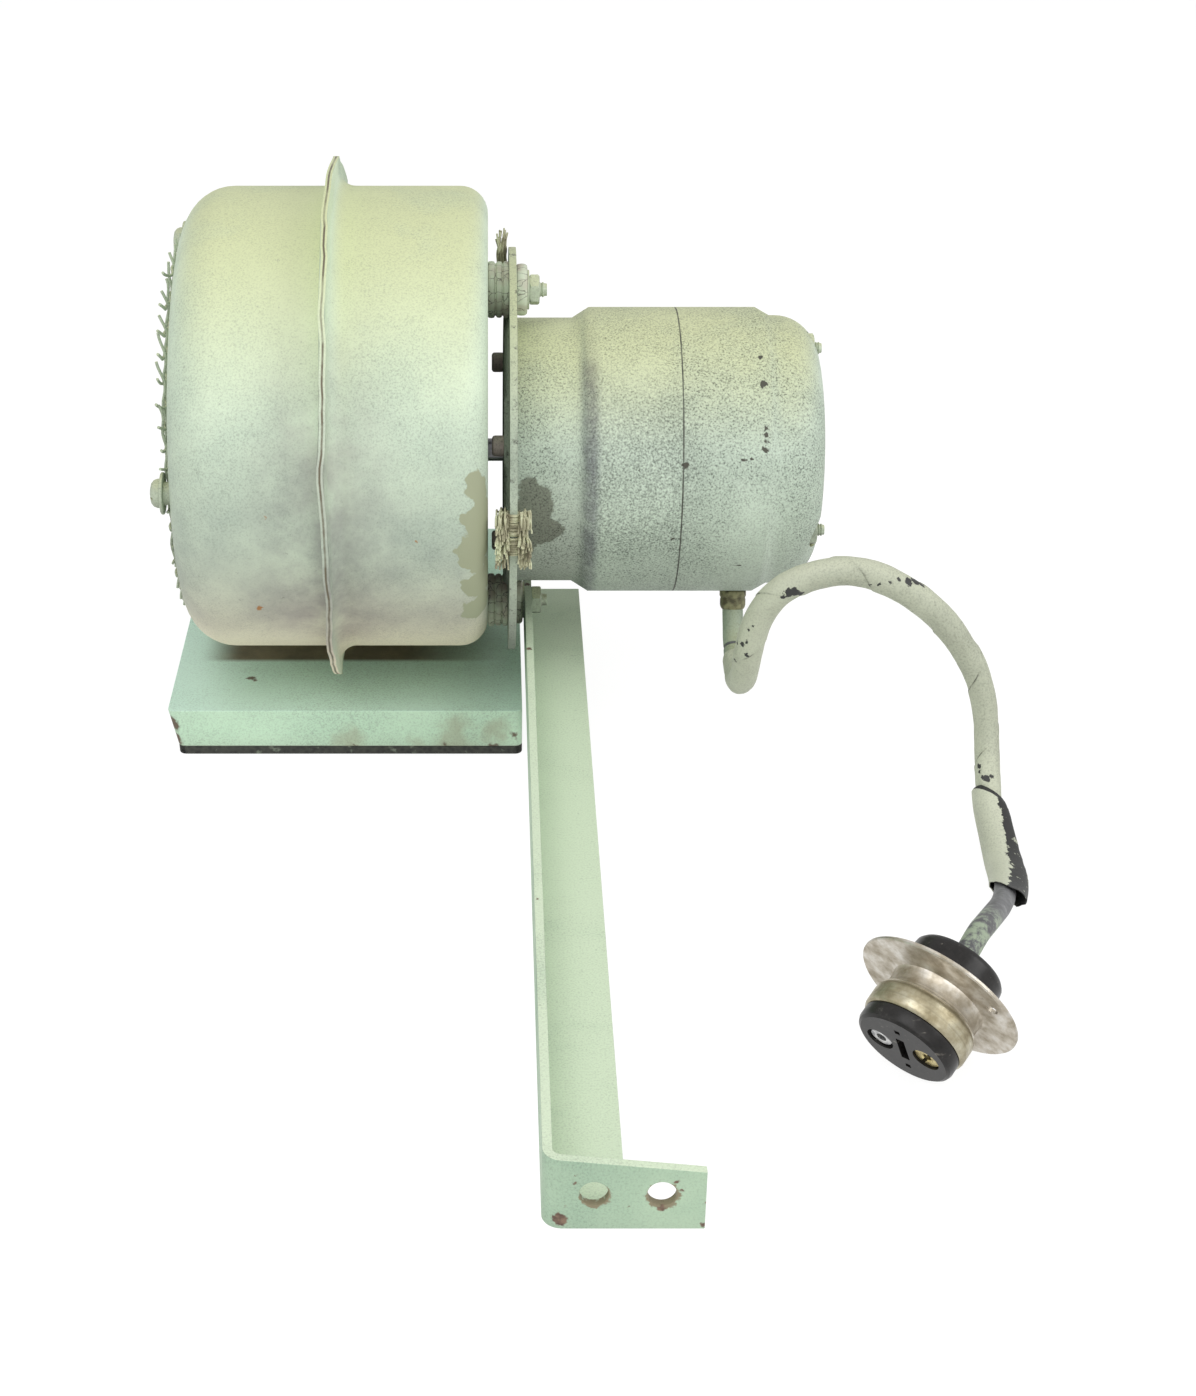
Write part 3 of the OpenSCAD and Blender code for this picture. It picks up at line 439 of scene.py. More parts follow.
def cut_slot(piece, at, size, turn=0):
    """Cuts a box out of a piece, its middle at a point."""
    bpy.ops.mesh.primitive_cube_add(size=1, location=Vector(at) * MM, rotation=(0, 0, math.radians(turn)))
    bar = bpy.context.object
    bar.scale = Vector(size) * MM
    cut(piece, bar)


def joined(name, pieces):
    activate(pieces[0])
    for piece in pieces:
        piece.select_set(True)
    bpy.ops.object.join()
    pieces[0].name = name
    return pieces[0]


def as_mesh(piece):
    activate(piece)
    bpy.ops.object.convert(target="MESH")
    bpy.ops.object.shade_smooth()
    return bpy.context.object


def along_shaft(x, y=0.0, z=SHAFT_Z):
    """Places what is drawn along Z so that it lies along the shaft."""
    return Matrix.Translation(Vector((x, y, z)) * MM) @ Matrix.Rotation(math.pi / 2, 4, "Y")


def clamped(value):
    return min(max(value, 0), 1)


def fit(piece, material, slot, *replaced):
    piece.data.materials.clear()
    piece.data.materials.append(material)
    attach(piece, "blower")
    if replaced:
        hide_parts(*replaced)
    return piece


# %% [markdown]
# ## Old green paint
#
# The metal wears a sprayed alkyd enamel: a pale sea green that has gone matt, a little yellow on
# top where dust has settled, and grey where grease has caught dirt. Close up it is grainy, like
# fine sandpaper. The finish is built in layers: broad patches of tone, a colour on upward faces that
# is settled dust and, on the tray and the bracket, painted light on their lit tops, a colour on lower,
# downward faces that paints the light there (shade where it is darker than the paint, fill light
# where it is paler), a grain of less than a millimetre, dark specks, and ragged stains and chips at
# chosen places.

# %% Paint finish
GRAIN_MM = 0.75
SPECK_MM = 2.6
PATCH_MM = 55


def old_paint(name, pale, deep, top_dust_and_light, low, heights, grit=0.22, speck="#7f8576"):
    """The paint up to its specks; stains and chips go on top of it."""
    paint = Finish(name, 0.0, 0.62)
    paint.inputs["IOR"].default_value = 1.5
    patches = paint.noise(PATCH_MM, 6, 0.62)
    paint.colour = paint.ramp(patches, [(0.36, deep), (0.62, pale)])
    up = paint.part("Z", paint.add("NewGeometry").outputs["Normal"])
    # Upward faces take the top colour: settled dust, and on the tray and the bracket painted light on their
    # lit tops.
    top_dust_and_light_mask = paint.times(paint.span(up, 0.3, 1.0), paint.ramp(patches, [(0.3, 0.7), (0.5, 1.0)]))
    paint.lay(top_dust_and_light, top_dust_and_light_mask)
    bottom, top = heights
    # Lower, downward faces take the low colour, which paints the light there: shade where it is darker than
    # the paint, fill light where it is paler.
    paint.lay(low, paint.times(paint.along("Z", top, bottom), paint.span(up, 0.3, -0.6)))
    grain = paint.noise(GRAIN_MM, 3, 0.7)
    shade = paint.ramp(grain, [(0.34, 1 - 2 * grit), (0.5, 1 - 0.4 * grit), (0.64, 1.0)])
    paint.lay(shade, paint.ramp(patches, [(0.38, 1.0), (0.62, 0.45)]), "MULTIPLY")
    flecks = paint.noise(SPECK_MM, 5, 0.75)
    paint.lay(speck, paint.ramp(flecks, [(0.63, 0.0), (0.72, 0.55)]))
    paint.emboss(grain, 0.35, 0.25)
    paint.link(paint.ramp(patches, [(0.3, 0.72), (0.7, 0.5)]), "Roughness")
    return paint


# %% [markdown]
# ## Scroll housing
#
# The housing is two pressed steel shells. Each shell was drawn over a former, so its face runs into
# the wall through a wide round corner, and both end in a flat flange that was folded and spot-welded
# by hand. The merged copy keeps the true spiral. Its flange is then pushed a little to and fro, by a
# smooth noise that both halves share, because the real rim is wavy and not machined.

# %% Housing paint
SEAM_X = -73
HOUSING_STAINS = [(-14, -90, 139, 7), (-12, -89, 126, 9), (-14, -89, 113, 10), (-12, -84, 97, 9),
                  (-13, -78, 84, 8)]
RUST_BITES = [(-101, -83, 84, 2.2), (-96, -92, 128, 1.1), (-38, -92, 118, 1.0), (-60, -70, 72, 1.4)]
# The housing's colour for lower, downward faces is paler than its paint: painted fill light under the drum.
paint = old_paint("aged_green_enamel_housing", "#dcecd2", "#cbdcc6", "#d5dcae", "#eee5ca", (40, 130),
                  grit=0.17)
smudge_and_shade_noise = paint.noise(24, 7, 0.7)
smoky = paint.ramp(smudge_and_shade_noise, [(0.34, 0.1), (0.72, 0.9)])
paint.lay("#c6b6c4", paint.times(paint.beside("X", SEAM_X, 38, 1), smoky, paint.along("Z", 225, 135),
                                 paint.along("Z", 25, 85)), "MULTIPLY")
# Painted shade: the drum is darkened in a band round its lower middle, strongest 82 to 100 mm up, unevenly by
# noise.
lower_shade_band = paint.times(paint.along("Z", 185, 100), paint.along("Z", 52, 82))
paint.lay("#cbcad2", paint.times(lower_shade_band, paint.ramp(smudge_and_shade_noise, [(0.3, 0.45), (0.65, 0.95)])), "MULTIPLY")
paint.lay("#9fa488", paint.spots(HOUSING_STAINS, 3.5, 1.0))
paint.lay("#a5733f", paint.spots(RUST_BITES, 0.8, 0.8))
from_edge = paint.add("Attribute", {"attribute_name": "from_joint"}).outputs["Fac"]
crack = paint.times(paint.span(from_edge, 0.55, 0.25), paint.ramp(smudge_and_shade_noise, [(0.38, 0.5), (0.52, 1.0)]))
paint.lay("#6a6350", crack)
housing_paint = paint.done()

# %% Housing halves
SCROLL_STEP = 7
OUTLET_FRONT, OUTLET_BACK = 45, 120.6
WALL_ARCS = {"front_low": (-7, 7, 85.6), "front_top": (7, 7, 99.6), "back_top": (7, -7, 113.6),
             "under": (-7, -7, 71.6)}
FLANGE_REACH, FLANGE_NEAR = 12, 9
WAVE_MM, LONG_WAVE, SHORT_WAVE = 1.5, 26, 9


def beyond_wall(y, z):
    """How far a point lies outside the scroll's wall, in millimetres."""
    z -= SHAFT_Z
    if z < -SCROLL_STEP and y > OUTLET_FRONT:
        return y - OUTLET_BACK
    if y > SCROLL_STEP and z > -SCROLL_STEP:
        quarter = "back_top"
    elif z > SCROLL_STEP:
        quarter = "front_top"
    elif y < -SCROLL_STEP:
        quarter = "front_low"
    else:
        quarter = "under"
    centre_y, centre_z, r = WALL_ARCS[quarter]
    return math.hypot(y - centre_y, z - centre_z) - r


def wavy_flange(piece):
    """Bends the rim of the seam flange along X, the same way on both halves."""
    from_joint = piece.data.attributes.new("from_joint", "FLOAT", "POINT")
    for vertex in piece.data.vertices:
        x, y, z = vertex.co / MM
        from_joint.data[vertex.index].value = abs(x - SEAM_X)
        out = beyond_wall(y, z)
        if abs(x - SEAM_X) < FLANGE_NEAR and out > FLANGE_REACH / 3:
            bend = noise.noise(Vector((3.7, y / LONG_WAVE, z / LONG_WAVE)))
            bend += 0.4 * noise.noise(Vector((9.1, y / SHORT_WAVE, z / SHORT_WAVE)))
            vertex.co.x += WAVE_MM * MM * bend * out / FLANGE_REACH


for half in ("housing_inlet_half", "housing_motor_half"):
    shell = merged_copy(half, half + "_pressing")
    wavy_flange(shell)
    fit(rounded(shell, 0.35), housing_paint, "green_paint", half)
    print(half, "faces", len(shell.data.polygons))

# %% [markdown]
# ## Base tray and gasket
#
# The housing stands on an inverted tray of folded sheet. Its paint is bluer and less dusty than
# the drum's, with rust where the lower edge has been knocked, and a dark cork-rubber strip is
# glued under its rim. Both are merged copies with their edges rounded, and both lean at the end
# beside the inlet, where the wall was bent in by a knock.

# %% Tray and gasket
TRAY_DIRT = [(-68, -50, 8, 9), (-24, -50, 8, 12), (-8, -50, 12, 9), (-40, -50, 4, 6)]
TRAY_RUST = [(-145, -50, 6, 5.5), (-145, -50, 14, 5), (-66, -50, 4, 1.6), (-28, -50, 4, 1.8),
             (-8, -50, 4, 2.2), (-100, -50, 3.2, 1.2), (1, -50, 9, 2.5), (-112, -20, 21, 2.6)]
# The tray's colour for upward faces is lighter and bluer than its paint: painted light on its top.
paint = old_paint("aged_green_enamel_tray", "#cdebcf", "#c2e0c6", "#d6f5e4", "#b1bfaa", (3, 12), grit=0.16,
                  speck="#8b9a86")
# A painted shadow: the tray's top under the front of the drum is painted dark brown, unevenly by noise; the
# same noise breaks up the dirt patches.
shadow_and_dirt_noise = paint.noise(20, 8, 0.72)
painted_drum_shadow = paint.times(paint.along("Y", -5, -1), paint.along("Y", 60, 45), paint.along("X", -138, -118),
                         paint.along("X", 4, -50))
paint.lay(paint.ramp(shadow_and_dirt_noise, [(0.35, "#5c5341"), (0.65, "#7d735b")]), painted_drum_shadow)
paint.lay("#9c957c", paint.times(paint.spots(TRAY_DIRT, 4, 8), shadow_and_dirt_noise))
paint.lay("#66594a", paint.spots(TRAY_RUST, 1.6, 1.6))
tray_paint = paint.done()
LEAN_FROM, LEAN_FULL = -138, -141.5
LEAN_BOTTOM, LEAN_TOP = 3.0, -1.0
TRAY_BOTTOM, TRAY_TOP = 3, 20.8


def lean_end(piece):
    """Tips the tray's end wall beside the inlet, so that its top stands out over its foot."""
    for vertex in piece.data.vertices:
        x, y, z = vertex.co / MM
        share = clamped((LEAN_FROM - x) / (LEAN_FROM - LEAN_FULL))
        rise = clamped((z - TRAY_BOTTOM) / (TRAY_TOP - TRAY_BOTTOM))
        vertex.co.x += share * (LEAN_BOTTOM + (LEAN_TOP - LEAN_BOTTOM) * rise) * MM


tray = merged_copy("base_pan", "base_tray")
lean_end(tray)
fit(rounded(tray, 0.5), tray_paint, "green_paint", "base_pan")

cork = Finish("cork_rubber_strip", 0.0, 0.85)
CORK_GRAIN_MM = 2
cells = cork.add("TexVoronoi", {"Scale": 1 / (CORK_GRAIN_MM * MM)}, {"Vector": cork.coords})
grains = cells.outputs["Distance"]
cork.colour = cork.ramp(grains, [(0.1, "#2b2c2a"), (0.7, "#3f403b")])
cork.lay("#8f9a88", cork.ramp(cork.noise(5, 6), [(0.58, 0.0), (0.7, 0.8)]))
cork.emboss(grains, 0.5, 0.3)
strip = merged_copy("base_gasket", "gasket_strip")
lean_end(strip)
edit_all(strip, lambda: bpy.ops.mesh.bevel(offset=0.4 * MM, segments=2, affect="EDGES"))
smooth(strip, 35)
fit(strip, cork.done(), "gasket", "base_gasket")
print("tray faces", len(tray.data.polygons), "strip faces", len(strip.data.polygons))

# %% [markdown]
# ## Motor frames, plate and bracket
#
# The motor is two cast cups that meet at a thin seam full of dirt, the plate is a dished steel disc,
# and the bracket is an inch of angle iron whose upright leg is bent round into the foot. All three
# are merged copies with rounded edges. The chips and the oily stain beside the plate sit at
# measured places on the motor.

# %% Motor
STEP_X, MOTOR_SEAM_X = 30.8, 67.7
OIL_STAINS = [(9, -55, 117, 9), (12, -53, 106, 8), (5, -50, 97, 7), (6, -54, 125, 5)]
PAINT_CHIPS = [(99.3, -29.5, 170.3, 1.2), (99.9, -39.7, 163.1, 1.8), (100.6, -51.0, 148.6, 1.2),
               (100.3, -52.3, 146.3, 1.4), (100.5, -53.4, 143.8, 1.3), (100.0, -54.6, 141.2, 1.5),
               (92, -56.4, 137.4, 1.2), (94.4, -56.2, 137.6, 0.9), (68.6, -56.9, 135.5, 1.5),
               (64.3, -57, 102.9, 1.1), (92.9, -51.2, 89.2, 1.1), (50, -57, 134, 0.8),
               (110, -40, 150, 0.7)]
paint = old_paint("aged_green_enamel_motor", "#cfdecc", "#becdbc", "#d4daaf", "#b4bfb2", (58, 125), grit=0.40)
# Dust and painted shade: the neck is darkened next to the plate and towards its bottom.
paint.lay("#eae4e8", paint.times(paint.along("X", 34, 24), paint.along("Z", 150, 80)), "MULTIPLY")
sandy = paint.times(paint.along("Z", 172, 140), paint.along("X", 84, 64), paint.along("X", 22, 36),
                    paint.along("Z", 80, 108))
paint.lay(paint.ramp(paint.noise(0.85, 2), [(0.36, 0.5), (0.5, 0.84), (0.62, 1.0)]), sandy, "MULTIPLY")
drift = paint.noise(10, 8, 0.8)
# Dust and painted shade in the concave step between the neck and the body.
paint.lay("#9d97a6", paint.times(paint.beside("X", STEP_X, 5.5, 1), paint.along("Z", 182, 160),
                                 paint.ramp(drift, [(0.32, 0.25), (0.62, 0.9)])), "MULTIPLY")
paint.lay("#aca8a2", paint.spots(OIL_STAINS, 3.2, 1.6), "MULTIPLY")
paint.lay("#4b4c43", paint.times(paint.beside("X", MOTOR_SEAM_X, 0.42, 0.2),
                                 paint.ramp(drift, [(0.36, 0.45), (0.56, 1.0)])))
paint.lay("#46453b", paint.spots(PAINT_CHIPS, 1.1, 0.4))
motor_paint = paint.done()
for half in ("motor_front_frame", "motor_rear_frame"):
    fit(rounded(merged_copy(half, half + "_casting"), 0.45), motor_paint, "green_paint", half)

# %% Plate and bracket
paint = old_paint("aged_green_enamel_plate", "#bcc8b4", "#a5b19f", "#c2c8a2", "#8c9187", (40, 120),
                  speck="#4d5149")
paint.lay("#55584f", paint.ramp(paint.noise(4, 6, 0.8), [(0.57, 0.0), (0.64, 0.9)]))
plate = rounded(merged_copy("motor_plate", "motor_plate_disc"), 0.4)
fit(plate, paint.done(), "green_paint", "motor_plate")

BARE_RIMS = [(21.3, -389, 42.6, 5.0), (41.2, -389, 42.4, 5.4)]
FOOT_RUST = [(11, -390, 33.5, 2.7), (41, -390, 37.8, 1.5), (47, -390, 44.5, 1.0), (45, -390, 47.5, 1.1),
             (53.5, -390, 31.5, 1.2), (54.5, -390, 36, 0.8), (54, -390, 40, 0.7), (15.5, -390, 47, 0.9),
             (15.6, -390, 50, 0.6), (12.5, -390, 38.5, 0.7), (31.5, -390, 38.5, 0.7), (6, -389, 52, 1.2),
             (7, -250, 55, 1.0), (7, -60, 55, 1.6), (7, 2, 54, 2.4)]
# The bracket's colour for upward faces is much lighter than its paint: painted light on the lit top of the
# floor leg.
paint = old_paint("aged_green_enamel_bracket", "#b7d0b4", "#a6c1a8", "#d9e8cc", "#9fae99", (20, 40),
                  grit=0.15, speck="#9aa791")
paint.lay("#8b8268", paint.spots(BARE_RIMS, 0.9, 0.7))
rust = paint.ramp(paint.noise(2, 4), [(0.38, "#5f4a3f"), (0.62, "#87705c")])
paint.lay(rust, paint.spots(FOOT_RUST, 0.7, 0.7))
bracket = rounded(merged_copy("support_bracket", "angle_bracket"), 0.5)
fit(bracket, paint.done(), "green_paint", "support_bracket")
print("bracket faces", len(bracket.data.polygons), "plate faces", len(plate.data.polygons))

# %% [markdown]
# ## Wire guard
#
# The inlet is closed by a piece of woven wire, pressed into a shallow dome and held down by three
# screws. Each wire goes over one neighbour and under the next, so its height is a cosine of its
# place along the wire, and crossing wires take opposite signs. Along the upper front of its rim
# the guard has sprung off a little, and the cut ends curl out there beside the housing's outline.
# The wires are curves first, then made a mesh.

# %% Wire guard
GUARD_CENTRE = (9, 128)
GUARD_R, DOME_H, WIRE_PITCH, WIRE_R = 80, 8, 8, 0.62
HOUSING_FACE = -135
SCREW_CIRCLE, SCREW_ANGLES = 77, (60, 180, 300)
HELD_MM = 20
SPRUNG_AT, SPRUNG_WIDTH, SPRUNG_FROM, SPRUNG_H, SPRUNG_REACH = 140, 45, 0.55, 0.9, 3
CURL_MM, CURL_H, CURL_UP = 8, 1.7, 5
WEAVE = 0.62
STRAY_MM, CUT_SHORT, SPRUNG_SHARE = 0.6, (-0.3, 1.5), (0.3, 1)
ragged = random.Random(11)


def polar(r, degrees):
    return r * math.cos(math.radians(degrees)), r * math.sin(math.radians(degrees))


guard_screws = [polar(SCREW_CIRCLE, angle) for angle in SCREW_ANGLES]


def sprung(u, v):
    """1 where the rim has come off most, 0 elsewhere."""
    off = (math.degrees(math.atan2(v, u)) - SPRUNG_AT) / SPRUNG_WIDTH
    return math.exp(-off * off)


def guard_point(u, v, lift):
    """A point of the dome, u and v from its middle along Y and Z, in millimetres."""
    r = math.hypot(u, v) / GUARD_R
    height = DOME_H * max(1 - r * r, 0) ** 2
    for screw in guard_screws:
        height *= 1 - math.exp(-(math.dist((u, v), screw) / HELD_MM) ** 2)
    height += SPRUNG_H * sprung(u, v) * max((r - SPRUNG_FROM) / (1 - SPRUNG_FROM), 0)
    out = HOUSING_FACE - height - WIRE_R - WEAVE - lift
    return Vector((out, GUARD_CENTRE[0] + u, GUARD_CENTRE[1] + v)) * MM


def curl(from_end):
    """1 at the cut end of a wire, 0 from CURL_MM on."""
    return max(1 - from_end / CURL_MM, 0) ** 1.5


rows = int((GUARD_R - 1) / WIRE_PITCH)
wires = []
for turned_over in (False, True):
    for i in range(-rows, rows + 1):
        u = i * WIRE_PITCH + ragged.uniform(-STRAY_MM, STRAY_MM)
        half = math.sqrt(GUARD_R ** 2 - u * u)
        start, end = -half + ragged.uniform(*CUT_SHORT), half - ragged.uniform(*CUT_SHORT)
        if turned_over:
            start -= SPRUNG_REACH * sprung(start, u) * ragged.uniform(*SPRUNG_SHARE)
        else:
            end += SPRUNG_REACH * sprung(u, end) * ragged.uniform(*SPRUNG_SHARE)
        wire = []
        steps = max(8, int(4 * (end - start) / WIRE_PITCH))
        for k in range(steps + 1):
            v = start + (end - start) * k / steps
            lift = WEAVE * math.cos(math.pi * (v / WIRE_PITCH + i)) * (-1 if turned_over else 1)
            if turned_over:
                bent = curl(v - start) * sprung(start, u)
                wire.append(guard_point(v, u + CURL_UP * bent, lift + CURL_H * bent))
            else:
                bent = curl(end - v) * sprung(u, end)
                wire.append(guard_point(u, v, lift + CURL_H * bent))
        wires.append(wire)
guard = as_mesh(curve_piece("woven_guard", wires, WIRE_R * MM, 1))
paint = old_paint("enamel_on_wire", "#c6d2b9", "#aab79f", "#cdd3ae", "#8b8f80", (60, 200), speck="#5d6054")
fit(guard, paint.done(), "painted_wire", "inlet_guard")
print("guard wires", len(wires), "faces", len(guard.data.polygons))

# %% [markdown]
# ## Screws, studs, bolts and nuts
#
# The fasteners were painted over with everything else. Screw heads, bolts, washers and studs are
# turned from a profile; a thread is a zigzag in that profile, which is enough at this size. A nut
# is a hexagonal prism cut back by a turned body, so that its corners get the round chamfer of a real
# nut, and the slot in a screw head is a boolean with a thin bar.

# %% Guard screws
fastener_paint = old_paint("enamel_on_fasteners", "#c5d0b8", "#aeb9a4", "#c9cfac", "#8f9486", (40, 190),
                           speck="#5c5f52").done()
# The plate screws lie in shade between housing and plate, so their pinkish-grey enamel is made paler than the
# other fasteners': painted light.
painted_light_enamel = old_paint("lightened_enamel_on_plate_screws", "#dccfc4", "#c9bcb1", "#d8d2bd", "#bfb3a8", (40, 190),
                        speck="#8d857b").done()
WASHER = [(2.1, 0), (4.6, 0), (4.6, 2.7), (8.1, 2.7), (8.4, 3.0), (8.4, 3.6), (8.1, 3.9), (2.1, 3.9)]
GUARD_SCREW = [(0, -4.1), (1.6, -4.1), (2, -3.6), (2, 3.95), (5.5, 3.95), (5.8, 4.3), (5.8, 5.4),
               (5.3, 6.7), (4.1, 7.7), (2.4, 8.1), (0, 8.2)]
CHAMFER = 0.58


def thread(r, start, end, pitch, depth):
    """Zigzag profile points of a thread from start to end."""
    points = []
    for k in range(int((end - start) / pitch)):
        points += [(r, start + (k + 0.35) * pitch), (r - depth, start + (k + 0.85) * pitch)]
    return points


def hex_nut(name, across, height, bore, place):
    corner, face = across / math.sqrt(3), across / 2
    bpy.ops.mesh.primitive_cylinder_add(vertices=6, radius=corner * MM, depth=height * MM,
                                        location=(0, 0, height / 2 * MM), rotation=(0, 0, math.pi / 6))
    nut = bpy.context.object
    nut.name = name
    bpy.ops.object.transform_apply(location=True, rotation=True, scale=True)
    fall = CHAMFER * (corner - face)
    envelope = [(0, 0), (face - 0.2, 0), (corner + 0.05, fall + 0.2), (corner + 0.05, height - fall - 0.2),
                (face - 0.2, height), (0, height)]
    cut(nut, turned("chamfer", envelope, HERE), "INTERSECT")
    drill(nut, bore, -1, height + 1, steps=32)
    nut.data.transform(place)
    smooth(nut, 25)
    return nut


def fit_set(kind, pieces, replaced, paint=fastener_paint):
    fit(joined(kind + "_set", pieces), paint, "green_paint", replaced)


washers, screws = [], []
for k, (u, v) in enumerate(guard_screws):
    at = Vector((HOUSING_FACE, GUARD_CENTRE[0] + u, GUARD_CENTRE[1] + v)) * MM
    outward = Matrix.Translation(at) @ Matrix.Rotation(-math.pi / 2, 4, "Y")
    washers.append(turned("guard_washer", WASHER, outward, 40, True))
    head = turned("guard_screw", GUARD_SCREW, HERE, 40)
    cut_slot(head, (0, 0, 7.9), (14, 1.1, 2.2))
    head.data.transform(outward @ Matrix.Rotation(math.radians(35 + 50 * k), 4, "Z"))
    screws.append(head)
fit_set("guard_washer", washers, "guard_washers")
fit_set("guard_screw", screws, "guard_screws")

# %% Plate screws, through bolts and mount studs
PLATE_SCREWS, BOLT_ANGLES = (36, 156, 276), (86, 206, 326)
BOLT_CIRCLE, BOLT_R, BOLT_THREAD_L = 44, 2.6, 9
PLATE_SCREW_FROM, PLATE_SCREW_TO = -8.4, 4.4
BOLT_FROM, BOLT_TO, SPOTFACE_X = -0.6, 127.9, 119.8


def on_bolt_circle(x, angle):
    y, z = polar(BOLT_CIRCLE, angle)
    return along_shaft(x, y, SHAFT_Z + z)


plate_screws, bolts, nuts = [], [], []
for angle in PLATE_SCREWS:
    length = PLATE_SCREW_TO - PLATE_SCREW_FROM
    profile = [(0, 0), (3.2, 0), (4.0, 0.5), (4.2, 1.2), (4.2, 4.4), (4.0, 4.8), (BOLT_R, 4.8),
               (BOLT_R, length - 0.5), (BOLT_R - 0.4, length), (0, length)]
    plate_screws.append(turned("plate_screw", profile, on_bolt_circle(PLATE_SCREW_FROM, angle), 32))
for angle in BOLT_ANGLES:
    length = BOLT_TO - BOLT_FROM
    profile = [(0, 0), (BOLT_R, 0), (BOLT_R, length - BOLT_THREAD_L)]
    profile += thread(BOLT_R, length - BOLT_THREAD_L, length - 0.5, 1.06, 0.5) + [(2.0, length), (0, length)]
    bolts.append(turned("through_bolt", profile, on_bolt_circle(BOLT_FROM, angle), 32))
    nuts.append(hex_nut("through_bolt_nut", 11.1, 4.8, BOLT_R, on_bolt_circle(SPOTFACE_X, angle)))
fit_set("plate_screw", plate_screws, "plate_screws", painted_light_enamel)
fit_set("through_bolt", bolts, "through_bolts")
fit_set("through_bolt_nut", nuts, "through_bolt_nuts")

STUD_Z = (SHAFT_Z + 70, SHAFT_Z - 70)
STUD_R, STUD_FROM, STUD_TO = 3.17, -10, (14, 15.5)
RUBBER_END = (6.0, 5.0)
NUT_FROM = (6.8, 8.8)
MOUNT_WASHER = [(3.3, 0), (7.8, 0), (8, 0.2), (8, 0.6), (7.8, 0.8), (3.3, 0.8)]
studs, rings, nuts = [], [], []
for z, stud_to, rubber_end, nut_from in zip(STUD_Z, STUD_TO, RUBBER_END, NUT_FROM):
    length = stud_to - STUD_FROM
    profile = [(0, 0), (STUD_R, 0), (STUD_R, nut_from - STUD_FROM)]
    profile += thread(STUD_R, nut_from - STUD_FROM, length - 0.4, 1.27, 0.6) + [(2.5, length), (0, length)]
    studs.append(turned("mount_stud", profile, along_shaft(STUD_FROM, 0, z), 36))
    rings.append(turned("mount_washer", MOUNT_WASHER, along_shaft(rubber_end, 0, z), 40, True))
    nuts.append(hex_nut("mount_nut", 11.1, 4.2, 3.25, along_shaft(nut_from, 0, z)))
fit_set("mount_stud", studs, "isolator_studs")
fit_set("mount_washer", rings, "isolator_washers")
fit_set("mount_nut", nuts, "isolator_nuts")
print("fasteners", len(screws) + len(bolts) + len(studs))

# %% [markdown]
# ## Rubber mounts
#
# Each stud passes through two moulded rubber pieces: a longer one between the housing and the plate
# with two shallow grooves, and a shorter one outside the plate. They have swollen a little where
# they are squeezed, and the paint on them has cracked into islands, with dark rubber in between.

# %% Rubber mounts
CRACK_MM, CRACK_BEND = 4.5, 0.002
rubber = Finish("moulded_rubber_under_cracked_paint", 0.0, 0.7)
squeezed = rubber.add("Mapping", {"Scale": (0.6, 1, 1)}, {"Vector": rubber.coords}).outputs["Vector"]
bent = rubber.add("VectorMath", {"operation": "MULTIPLY_ADD", 1: [CRACK_BEND] * 3},
                  {0: rubber.noise(3, 3, output="Color"), 2: squeezed}).outputs[0]
cells = rubber.add("TexVoronoi", {"feature": "DISTANCE_TO_EDGE", "Scale": 1 / (CRACK_MM * MM)},
                   {"Vector": bent})
edges = cells.outputs["Distance"]
rubber.colour = rubber.ramp(rubber.noise(7, 6), [(0.35, "#b5ad9d"), (0.6, "#cdd6bf")])
rubber.lay("#5b594d", rubber.ramp(edges, [(0.006, 0.8), (0.03, 0.0)]))
rubber.emboss(edges, 0.6, 0.4)
mount_rubber = rubber.done()

INNER_RUBBER = [(3.3, 0), (10.9, 0), (11.4, 0.4), (11.5, 1.6), (11.3, 2.5), (10.5, 2.9), (10.5, 3.2),
                (11.2, 3.6), (11.4, 4.6), (11.2, 5.5), (10.5, 5.8), (10.5, 6.1), (11.3, 6.5), (11.5, 7.4),
                (11.2, 8.3), (10.8, 8.5), (3.3, 8.5)]
PLATE_FACE = 1.5
for name, z, outer_l in (("upper", STUD_Z[0], 4.5), ("lower", STUD_Z[1], 3.5)):
    bush = turned(f"{name}_bush", INNER_RUBBER, along_shaft(STUD_FROM, 0, z), 56, True)
    fit(bush, mount_rubber, "painted_rubber", f"isolator_{name}_bush")
    outer = [(3.3, 0), (9.7, 0), (10.3, 0.5), (10.5, 0.45 * outer_l), (10.4, 0.75 * outer_l),
             (9.8, outer_l - 0.2), (9.2, outer_l), (3.3, outer_l)]
    pad = turned(f"{name}_pad", outer, along_shaft(PLATE_FACE, 0, z), 56, True)
    fit(pad, mount_rubber, "painted_rubber", f"isolator_{name}_rubber")
print("rubber mounts done")

# %% [markdown]
# ## Grommet and bonding braids
#
# The cord leaves the motor through a short rubber grommet. Two lengths of copper braid bond the
# motor to the housing across its rubber mounts: one is folded over the rim of the plate, with
# its two cut ends towards the camera and its top teased into loops, and a stub of the other
# stands beside the upper mount. A braid is drawn strand by strand, each strand a thin curve.

